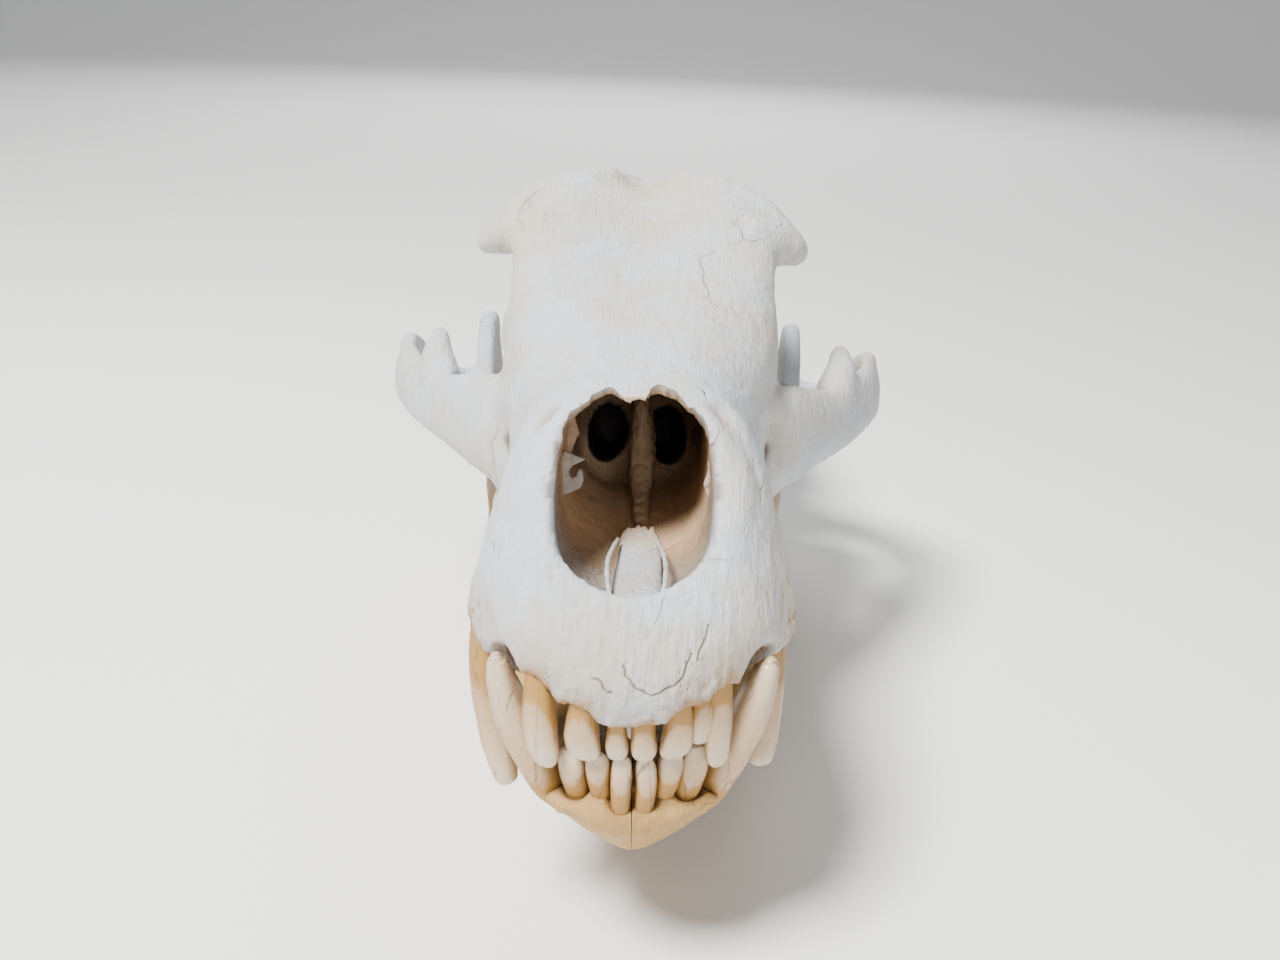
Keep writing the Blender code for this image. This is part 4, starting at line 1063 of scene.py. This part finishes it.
def in_passage(point):
    """How far inside one of the two dark passages at the back of the nose a point is, from 0 to 1; the
    passages are painted near black as shade.
    """
    start, end = (Vector(knot) for knot in PASSAGE)
    middle = start.lerp(end, max(0.0, (point.y - start.y) / (end.y - start.y)))
    away = math.hypot((abs(point.x) - middle.x) / PASSAGE_RADII[0], (point.z - middle.z) / PASSAGE_RADII[1])
    return within(point.y, *PASSAGE_SPAN) * (1 - eased(away, 1.04, 1.16))


def mouth_stain_and_shade(point, facing, start):
    """How brown a surface inside the mouth is behind the front teeth, where it faces into the mouth: stain
    and painted shade together.
    """
    if not facing or abs(point.x) > MOUTH_HALF_WIDTH:
        return 0.0
    return 0.9 * within(point.y, start, start + 5, *MOUTH_FADING)


def in_room(point):
    """How near a point is to the wall of the room for the lower canines' tips, from 0 to 1."""
    middle, radii, _ = CANINE_ROOM
    share = math.hypot(*(a / r for a, r in zip(folded(point) - Vector(middle), radii)))
    return eased(point.y, 8, 12) * (1 - eased(share, 1.02, 1.18))


def crease_shade(shape):
    """How hollow the surface is round each vertex, from 0 to 1, eased over its neighbours, as the share of
    painted shade in creases.
    """
    shape.normal_update()
    shape.verts.index_update()
    around = [[e.other_vert(v) for e in v.link_edges] for v in shape.verts]
    values = []
    for vert, others in zip(shape.verts, around):
        spans = [other.co - vert.co for other in others]
        square = sum(span.length_squared for span in spans) / len(spans)
        values.append(sum((span.dot(vert.normal) for span in spans), 0.0) / len(spans) / max(square, 1e-6))
    for _ in range(4):
        values = [(value + sum(values[o.index] for o in others)) / (1 + len(others))
                  for value, others in zip(values, around)]
    return [eased(value, 0.004, 0.06) for value in values]


def cranium_relief(point, lines):
    """How far the cranium's surface stands out at a point: swells, cracks, nose rim and sockets."""
    near = socket_distance(point, lines)
    out = sum(height * rough(point, size) for size, height in SKULL_SWELLS)
    out -= CRACK_DEPTH * bell(crack_distance(point), CRACK_WIDTH)
    if point.y < MUZZLE_BACK:
        out += RIM_RISE * bell(rim_distance(point, APERTURE_RIM), RIM_WIDTH)
        out -= GROOVE_DEPTH * bell(rim_distance(point, RIM_GROOVE), GROOVE_WIDTH)
    front = 1 - eased(point.y, 25, MUZZLE_BACK)
    streak = Vector((point.x, point.y * GRAIN_SQUEEZE, point.z * GRAIN_SQUEEZE))
    out += GRAIN_HEIGHT * front * rough(streak, GRAIN_SIZE)
    out += BUMP_HEIGHT * bell(max(near - 3, 0), 3.5) * front * rough(point, BUMP_SIZE)
    return out + socket_edge(point, near, *SKULL_SOCKET)


def make_cranium():
    """The cranium with both arches: fused, carved, roughened, and marked for its material."""
    parts = bmesh.new()
    cranium_parts(parts)
    shape = as_shape(carved(fused(parts, JOIN_GRID, JOIN_PASSES), [*nose_cutters(), *other_cutters()]))
    drop_scraps(shape)
    mesh = fused(shape, SKIN_GRID, SKIN_PASSES)
    shape = as_shape(carved(mesh, [nasal_edge_cutter(), *socket_cutters()]))
    drop_scraps(shape)
    refined(shape, lambda p: p.y < 34 and p.z < 112)
    for reach in (1.8, 0.9):
        refined(shape, lambda p: crack_distance(p) < reach, 0)
    lines = socket_lines(UPPER_INCISORS, UPPER_CANINE, UPPER_CHEEK)
    holes = [row[:3] for row in INFRAORBITAL[1:]]
    push(shape, lambda v: cranium_relief(v.co, lines))
    near = [max(socket_distance(v.co, lines), 0) for v in shape.verts]
    # Faces inside the mouth behind the front teeth, and the wall of the lower canines' room, are painted
    # brown: stain and painted shade together.
    mouth = [max(mouth_stain_and_shade(v.co, v.normal.z < -0.2, 16), 0.6 * in_room(v.co)) for v in shape.verts]
    # Painted shade: the passages, the nose's depths and the infraorbital holes are darkened.
    dark = [max(1.25 * in_passage(v.co), nose_shade(v.co), 0.9 * bell(rim_distance(v.co, holes), 2.2))
            for v in shape.verts]
    cracks = [crack_distance(v.co) for v in shape.verts]
    # A darker tan tint along the groove outside the nose's rim, laid into the stain layer.
    groove = [0.3 * bell(rim_distance(v.co, RIM_GROOVE), 2.6) for v in shape.verts]
    set_layer(shape, "stain", [max(0.6 * bell(max(d - 1.5, 0), 2.0) + 0.4 * bell(d, 8.0), m, g)
                               for d, m, g in zip(near, mouth, groove)])
    # Painted shade in the creases, by how hollow the surface is.
    set_layer(shape, "cavity", crease_shade(shape))
    # The shade layer: painted shade in the nose, its passages, the infraorbital holes, the mouth and the
    # canines' room, with dark gaps at the sockets and along the cracks.
    set_layer(shape, "shade", [max(0.8 * bell(d, 0.7), deep, 0.7 * bell(crack, 0.22), 0.55 * m)
                               for d, deep, crack, m in zip(near, dark, cracks, mouth)])
    set_layer(shape, "worn", [0.9 * bell(max(d - 1, 0), 6.0) for d in near])
    # How far back in the nose a vertex lies: tan farther in, and darkened as painted shade at the back.
    set_layer(shape, "hollow", [eased(v.co.y, 12, 90) if in_nose(v.co, NOSE_MARGIN) else 0.0
                                for v in shape.verts])
    settled(shape)
    nodes = ("cranium", "zygomatic_arch_left", "zygomatic_arch_right")
    piece("skull_bone", shape, material_named("bleached_bone"), nodes)


# Inside the nose

def scrap_point(p, face, back):
    """Where a point of a scrap's outline lies on its back or front face."""
    return (p[0], back + SCRAP_LEAN * (p[1] - 120) + SCRAP_HALF * face, p[1])


def make_nose_bones():
    """The septum's column, the low plate with its curled edges, and loose scraps."""
    septum = bmesh.new()
    knots = curved(SEPTUM, 5)
    loft(septum, [oval((x, y, z), ACROSS, LENGTHWISE, wide, long, 2.6, RING_SIDES)
                  for z, y, x, wide, long in knots])
    plate = bmesh.new()
    rows = curved(NOSE_PLATE, 5)
    loft(plate, [oval((x, y, top - half), ACROSS, UP, wide, half, 3.0, RING_SIDES)
                 for y, x, wide, top, half in rows])
    for side in SIDE_NAMES:
        limb(plate, [(side * x + 0.8, y, z, r) for y, x, z, r in curved(CURL, 4)], 12)
    scraps = bmesh.new()
    for back, outline in SCRAPS:
        slab(scraps, outline, lambda p, face: scrap_point(p, face, back))
    # Each piece: name, parts, grid, passes, and how worn it is, which also sets its stain and the base of
    # its painted shade.
    pieces = (("nose_septum", septum, 0.7, 3, 0.35), ("nose_floor_plate", plate, 0.4, 1, 0.1),
              ("nose_scraps", scraps, 0.4, 1, 0.2))
    for name, parts, grid, passes, worn in pieces:
        shape = as_shape(fused(parts, grid, passes))
        if name == "nose_floor_plate":
            for vert in shape.verts:
                vert.co.y += 5.0 * eased(vert.co.y, 58, 66) * rough(Vector((vert.co.x, 0, 7)), 2.4)
        push(shape, lambda v: worn * (1.2 * rough(v.co, 3.2) - 1.8 * pits(v.co, 2.6, 0.5)))
        for key in ("stain", "worn"):
            set_layer(shape, key, [worn] * len(shape.verts))
        set_layer(shape, "hollow", [0.6 * eased(v.co.y, 40, 100) for v in shape.verts])
        # Painted shade: the nose's bones are darkened all over, and more the farther back they stand.
        set_layer(shape, "shade", [worn + 0.3 * eased(v.co.y, 60, 110) for v in shape.verts])
        settled(shape)
        piece(name, shape, material_named("bleached_bone"), ("cranium",))


# The lower jaw

def coronoid_point(p, face):
    """Where a point of the coronoid's outline lies on its outer or inner face."""
    x, thick = along(CORONOID_LEAN, p[1])
    return (x + face * thick / 2, p[0], p[1])


def jaw_relief(point, lines, seed):
    """How far the jaw's surface stands out at a point: swells, the sockets and a few pits in front."""
    near = socket_distance(point, lines)
    out = sum(height * rough(point + seed, size) for size, height in JAW_SWELLS)
    out += socket_edge(point, near, *JAW_SOCKET)
    front = 1 - eased(point.y, 20, 60)
    out -= 0.25 * front * pits(point + seed, 2.2, 0.36) * eased(rough(point + seed, 8), 0.0, 0.4)
    return out


def make_jaw_half(side):
    """One half of the lower jaw, made as the left one and mirrored for the right."""
    parts = bmesh.new()
    rings = []
    for y in np.linspace(JAW_BODY[0][0], JAW_BODY[-1][0], JAW_RINGS):
        x_low, low, thick_low, x_high, high, thick_high = along(JAW_BODY, y)
        ring = two_part_oval((0, y, 0), 1, 1, *JAW_SQUARENESS, JAW_SIDES)
        for point in ring:
            share = (point.z + 1) / 2
            thick = thick_low + share * (thick_high - thick_low)
            point.x = x_low + share * (x_high - x_low) + point.x * thick
            point.z = low + share * (high - low)
        rings.append(ring)
    loft(parts, rings)
    slab(parts, curved(CORONOID, 3, closed=True), coronoid_point)
    ball(parts, *CONDYLE)
    ball(parts, *SOCKET_MOUND)
    for knots in JAW_LIMBS:
        limb(parts, curved(knots, 3))
    mesh = fused(parts, JAW_JOIN_GRID, JOIN_PASSES)
    hollow = bmesh.new()
    ball(hollow, *MASSETER_HOLLOW)
    holes = [hollow]
    for middle, radius in MENTAL_HOLES:
        hole = bmesh.new()
        ball(hole, middle, (5.0, radius, radius * 0.8))
        holes.append(hole)
    shape = as_shape(fused(as_shape(carved(mesh, holes)), JAW_SKIN_GRID, SKIN_PASSES))
    drop_scraps(shape)
    if side < 0:
        bmesh.ops.transform(shape, matrix=Matrix.Diagonal((-1, 1, 1, 1)), verts=shape.verts)
        bmesh.ops.reverse_faces(shape, faces=shape.faces)
    refined(shape, lambda p: p.y < 24 and p.z > 30)
    lines = socket_lines(LOWER_INCISORS, LOWER_CANINE, LOWER_CHEEK)
    seed = Vector((0, 0, 60 * side))
    push(shape, lambda v: jaw_relief(v.co, lines, seed))
    near = [max(socket_distance(v.co, lines), 0) for v in shape.verts]
    shape.normal_update()
    # Upward faces inside the mouth behind the lower incisors are painted brown: stain and painted shade
    # together.
    mouth = [mouth_stain_and_shade(v.co, v.normal.z > 0.2 and v.co.z > 38, 10) for v in shape.verts]
    set_layer(shape, "stain", [max(0.7 * bell(d, 2.4) + 0.2 * bell(d, 5), m) for d, m in zip(near, mouth)])
    set_layer(shape, "shade", [max(0.8 * bell(d, 1.0), 0.8 * m) for d, m in zip(near, mouth)])
    set_layer(shape, "worn", [0.7 * bell(max(d - 1, 0), 5.0) for d in near])
    # The jaw turns to the pale bone colour toward its top, up to the coronoid's tips.
    set_layer(shape, "bleach", [0.9 * eased(v.co.z + 6 * rough(v.co, 16), 58, 100) for v in shape.verts])
    # Painted shade in the creases, by how hollow the surface is.
    set_layer(shape, "cavity", crease_shade(shape))
    cut_flat(shape, (side * SYMPHYSIS, 0, 0), (-side, 0, 0))
    settled(shape)
    cut_flat(shape, (0, 0, 0), (0, 0, -1))
    name = SIDE_NAMES[side]
    node = f"mandible_{name}"
    piece(f"jaw_bone_{name}", shape, material_named("cream_jaw_bone"), (node,))


# Teeth

def bone_of(row, name):
    """The solid that a row's teeth belong to on a side."""
    return "cranium" if row == "upper" else f"mandible_{name}"


def tooth(name, shape, node):
    settled(shape)
    piece(name, shape, material_named("tooth_enamel"), (node,), TOOTH_LEVELS)


def incisor_shape(shape, base, middle, edge, width, neck_share, turn, rooted):
    """A chisel crown on a narrower neck, whose root sinks into the bone."""
    line = [Vector(point) for point in curved((base, middle, edge), 8)]
    across = Vector((math.cos(math.radians(turn)), math.sin(math.radians(turn)), 0))
    ahead = (line[1] - line[0]).normalized()
    root_wide, root_deep = width * neck_share * 0.36, width * INCISOR_DEPTH * 0.42
    rings = [oval(line[0] - ahead * INCISOR_ROOT, across, across.cross(ahead), root_wide, root_deep, 2.2,
                  INCISOR_SIDES)]
    shares = [[0.0] * INCISOR_SIDES]
    flank = [abs(math.cos(2 * math.pi * k / INCISOR_SIDES)) ** 3 for k in range(INCISOR_SIDES)]
    for share, grown, left, deep in curved(CROWN_RINGS, 3):
        at = share * (len(line) - 1)
        i = min(int(at), len(line) - 2)
        half_wide = width * (neck_share + (1 - neck_share) * grown) * left / 2
        half_deep = width ** 0.6 * 2.2 * deep * INCISOR_DEPTH / 2
        centre = line[i].lerp(line[i + 1], at - i)
        rings.append(oval(centre, across, across.cross(ahead), half_wide, half_deep, 2.4, INCISOR_SIDES))
        shares.append([share - 0.3 * f * (1 - share**3) - rooted for f in flank])
    loft(shape, rings, shares)


def mark_side_stain_and_shade(shape):
    """Keeps how far each vertex turns to the tooth's sides, which are darkened with ochre stain and painted
    shade.
    """
    shape.normal_update()
    set_layer(shape, "edge", [eased(abs(v.normal.x), 0.5, 0.95) for v in shape.verts])


def make_incisors(row, incisors):
    made = {side: 0 for side in SIDE_NAMES}
    for i, (side, *sizes) in enumerate(incisors):
        shape = bmesh.new()
        incisor_shape(shape, *sizes, ROOT_SEEN[row])
        seed = Vector((i * 11.0, 0, 0))
        push(shape, lambda v: 0.16 * rough(v.co + seed, 2.6))
        mark_side_stain_and_shade(shape)
        name = SIDE_NAMES[side]
        made[side] += 1
        tooth(f"{row}_incisor_{name}_{made[side]}", shape, bone_of(row, name))


def canine_shape(knots, crown_from, tip):
    """A bent cone of oval rings. Its crown starts at the given knot, and a broken tip's share is low."""
    rows = curved(knots, CANINE_STEPS)
    path = [Vector(k[:3]) for k in rows]
    rings, shares = [], []
    for i, knot in enumerate(rows):
        ahead = (path[min(i + 1, len(path) - 1)] - path[max(i - 1, 0)]).normalized()
        length = ahead.cross(Vector((1, 0, 0)))
        rings.append(oval(path[i], length.cross(ahead), length, knot[3], knot[4], count=CANINE_SIDES))
        share = (i / CANINE_STEPS - crown_from) / (len(knots) - 1 - crown_from)
        turns = (2 * math.pi * k / CANINE_SIDES for k in range(CANINE_SIDES))
        shares.append([share - 0.06 * math.sin(turn) for turn in turns])
    last = rings[-1]
    centre = sum(last, Vector()) / len(last)
    ahead = (path[-1] - path[-2]).normalized()
    for reach, size in CANINE_END:
        rings.append([centre + ahead * reach + (p - centre) * size for p in last])
        shares.append([tip] * CANINE_SIDES)
    shape = bmesh.new()
    loft(shape, rings, shares)
    return shape


def make_canines():
    for side, name in SIDE_NAMES.items():
        for row, canines in (("upper", UPPER_CANINE), ("lower", LOWER_CANINE)):
            shape = canine_shape(canines[side], *CANINE_CROWNS[row])
            push(shape, lambda v: 0.22 * rough(v.co, 6.0) + 0.08 * rough(v.co, 1.8))
            mark_side_stain_and_shade(shape)
            tooth(f"{row}_canine_{name}", shape, bone_of(row, name))


def cheek_shape(shape, front, back, x, half_width, cusps, edge, neck, root, side):
    """A low crown with a ring of cusps round a wrinkled basin."""
    up = math.copysign(1, edge - neck)
    middle, half_length = (front + back) / 2, (back - front) / 2
    waist, basin = (neck + edge) / 2, edge - up * CUSP_RISE
    rows = ((0.8, neck - up * root, 0, 0), (0.86, neck, 0, 0.1), (0.97, (neck + waist) / 2, 0, 0.4),
            (1.0, waist, 0, 0.6), (0.93, basin, 0.5, 0.8), (0.78, basin + up * 0.6, CUSP_RISE, 1.0),
            (0.62, basin, 0.9, 0.85), (0.3, basin - up * 0.5, 0, 0.7))
    rings, shares = [], []
    for drawn_in, z, rise, share in rows:
        wide, long = half_width * drawn_in, half_length * drawn_in
        ring = oval((side * x, middle, z), ACROSS, LENGTHWISE, wide, long, CHEEK_SQUARENESS, CHEEK_SIDES)
        for i, point in enumerate(ring):
            point.z += up * rise * (0.5 - 0.5 * math.cos(4 * math.pi * cusps * i / CHEEK_SIDES))
        rings.append(ring)
        shares.append([share] * CHEEK_SIDES)
    loft(shape, rings, shares)


def make_cheek_teeth():
    for side, name in SIDE_NAMES.items():
        for row, teeth, root in (("upper", UPPER_CHEEK, UPPER_CHEEK_ROOT),
                                 ("lower", LOWER_CHEEK, LOWER_CHEEK_ROOT)):
            shape = bmesh.new()
            for sizes in teeth:
                cheek_shape(shape, *sizes, root, side)
            push(shape, lambda v: 0.3 * rough(v.co, 3.5))
            tooth(f"{row}_cheek_teeth_{name}", shape, bone_of(row, name))


# Floor, light and camera

def area_light(name, place, aim, size, power, tint):
    lamp = bpy.data.lights.new(name, "AREA")
    lamp.shape = "DISK"
    lamp.size = size
    lamp.energy = power
    lamp.color = tint
    obj = bpy.data.objects.new(name, lamp)
    obj.location = place
    obj.rotation_euler = (Vector(aim) - Vector(place)).to_track_quat("-Z", "Y").to_euler()
    bpy.context.scene.collection.objects.link(obj)


def make_stage():
    looks = bpy.context.scene.stage_looks
    shape = bmesh.new()
    bmesh.ops.create_circle(shape, cap_ends=True, segments=FLOOR_SIDES, radius=FLOOR_RADIUS - FLOOR_EDGE)
    edge = list(shape.edges)
    for step in range(SWEEP_STEPS + 1):
        angle = 0.5 * math.pi * step / SWEEP_STEPS
        grown = bmesh.ops.extrude_edge_only(shape, edges=edge)["geom"]
        verts = {item for item in grown if isinstance(item, bmesh.types.BMVert)}
        for vert in verts:
            away = (FLOOR_RADIUS + SWEEP_RADIUS * math.sin(angle)) / math.hypot(vert.co.x, vert.co.y)
            vert.co = (vert.co.x * away, vert.co.y * away, SWEEP_RADIUS * (1 - math.cos(angle)))
        edge = [item for item in grown
                if isinstance(item, bmesh.types.BMEdge) and verts.issuperset(item.verts)]
        for item in grown:
            if isinstance(item, bmesh.types.BMFace):
                item.smooth = True
    mesh = bpy.data.meshes.new("floor")
    shape.to_mesh(mesh)
    shape.free()
    paint = bpy.data.materials.new("pale_floor_paint")
    paint.use_nodes = True
    shader = paint.node_tree.nodes["Principled BSDF"]
    shader.inputs["Base Color"].default_value = looks.floor
    shader.inputs["Roughness"].default_value = 0.9
    mesh.materials.append(paint)
    floor = bpy.data.objects.new("floor", mesh)
    bpy.context.scene.collection.objects.link(floor)

    world = bpy.data.worlds.new("surround")
    world.use_nodes = True
    sky = world.node_tree.nodes["Background"]
    sky.inputs["Color"].default_value = looks.sky
    sky.inputs["Strength"].default_value = looks.sky_strength
    bpy.context.scene.world = world
    for name, place, aim, size, tint in LIGHTS:
        area_light(name, place, aim, size, getattr(looks, f"{name}_power"), tint)

    lens = bpy.data.cameras.new("camera")
    lens.lens = looks.lens
    lens.sensor_width = SENSOR_WIDTH
    lens.clip_start = 0.01
    camera = bpy.data.objects.new("camera", lens)
    camera.location = CAMERA_PLACE
    camera.rotation_euler = [math.radians(a) for a in CAMERA_TURN]
    bpy.context.scene.collection.objects.link(camera)
    bpy.context.scene.camera = camera


# Operators and panel

class SKULL_OT_cranium(bpy.types.Operator):
    """Build the cranium with its cheek arches and the open nose"""
    bl_idname = "skull.cranium"
    bl_label = "Cranium"

    def execute(self, context):
        make_cranium()
        return {"FINISHED"}


class SKULL_OT_nose_bones(bpy.types.Operator):
    """Build the septum, the floor plate and the turbinate scraps inside the nose"""
    bl_idname = "skull.nose_bones"
    bl_label = "Nose Bones"

    def execute(self, context):
        make_nose_bones()
        return {"FINISHED"}


class SKULL_OT_jaw(bpy.types.Operator):
    """Build both halves of the lower jaw"""
    bl_idname = "skull.jaw"
    bl_label = "Lower Jaw"

    def execute(self, context):
        for side in SIDE_NAMES:
            make_jaw_half(side)
        return {"FINISHED"}


class SKULL_OT_incisors(bpy.types.Operator):
    """Build the upper and lower incisors"""
    bl_idname = "skull.incisors"
    bl_label = "Incisors"

    def execute(self, context):
        make_incisors("upper", UPPER_INCISORS)
        make_incisors("lower", LOWER_INCISORS)
        return {"FINISHED"}


class SKULL_OT_canines(bpy.types.Operator):
    """Build the four canines, with the upper ones' broken tips"""
    bl_idname = "skull.canines"
    bl_label = "Canines"

    def execute(self, context):
        make_canines()
        return {"FINISHED"}


class SKULL_OT_cheek_teeth(bpy.types.Operator):
    """Build the premolars and molars"""
    bl_idname = "skull.cheek_teeth"
    bl_label = "Cheek Teeth"

    def execute(self, context):
        make_cheek_teeth()
        return {"FINISHED"}


class SKULL_OT_stage(bpy.types.Operator):
    """Build the pale floor, the soft lights and the camera"""
    bl_idname = "skull.stage"
    bl_label = "Stage"

    def execute(self, context):
        make_stage()
        return {"FINISHED"}


OPERATORS = (SKULL_OT_cranium, SKULL_OT_nose_bones, SKULL_OT_jaw, SKULL_OT_incisors, SKULL_OT_canines,
             SKULL_OT_cheek_teeth, SKULL_OT_stage)
SETTINGS = (("bone_looks", BoneLooks), ("tooth_looks", ToothLooks), ("stage_looks", StageLooks))


class SKULL_PT_panel(bpy.types.Panel):
    """Lists the settings and the pieces in the order that they are built"""
    bl_idname = "SKULL_PT_panel"
    bl_label = "Bear Skull"
    bl_space_type = "VIEW_3D"
    bl_region_type = "UI"
    bl_category = "Skull"

    def draw(self, context):
        for name, group in SETTINGS:
            box = self.layout.box()
            for key in group.__annotations__:
                box.prop(getattr(context.scene, name), key)
        for operator in OPERATORS:
            self.layout.operator(operator.bl_idname)


def register():
    for name, group in SETTINGS:
        bpy.utils.register_class(group)
        setattr(bpy.types.Scene, name, PointerProperty(type=group))
    for item in (*OPERATORS, SKULL_PT_panel):
        bpy.utils.register_class(item)


def unregister():
    for item in (SKULL_PT_panel, *reversed(OPERATORS)):
        bpy.utils.unregister_class(item)
    for name, group in reversed(SETTINGS):
        delattr(bpy.types.Scene, name)
        bpy.utils.unregister_class(group)


def main():
    register()
    bpy.ops.skull.stage()
    bpy.ops.skull.cranium()
    bpy.ops.skull.nose_bones()
    bpy.ops.skull.jaw()
    bpy.ops.skull.incisors()
    bpy.ops.skull.canines()
    bpy.ops.skull.cheek_teeth()


if __name__ == "__main__":
    main()
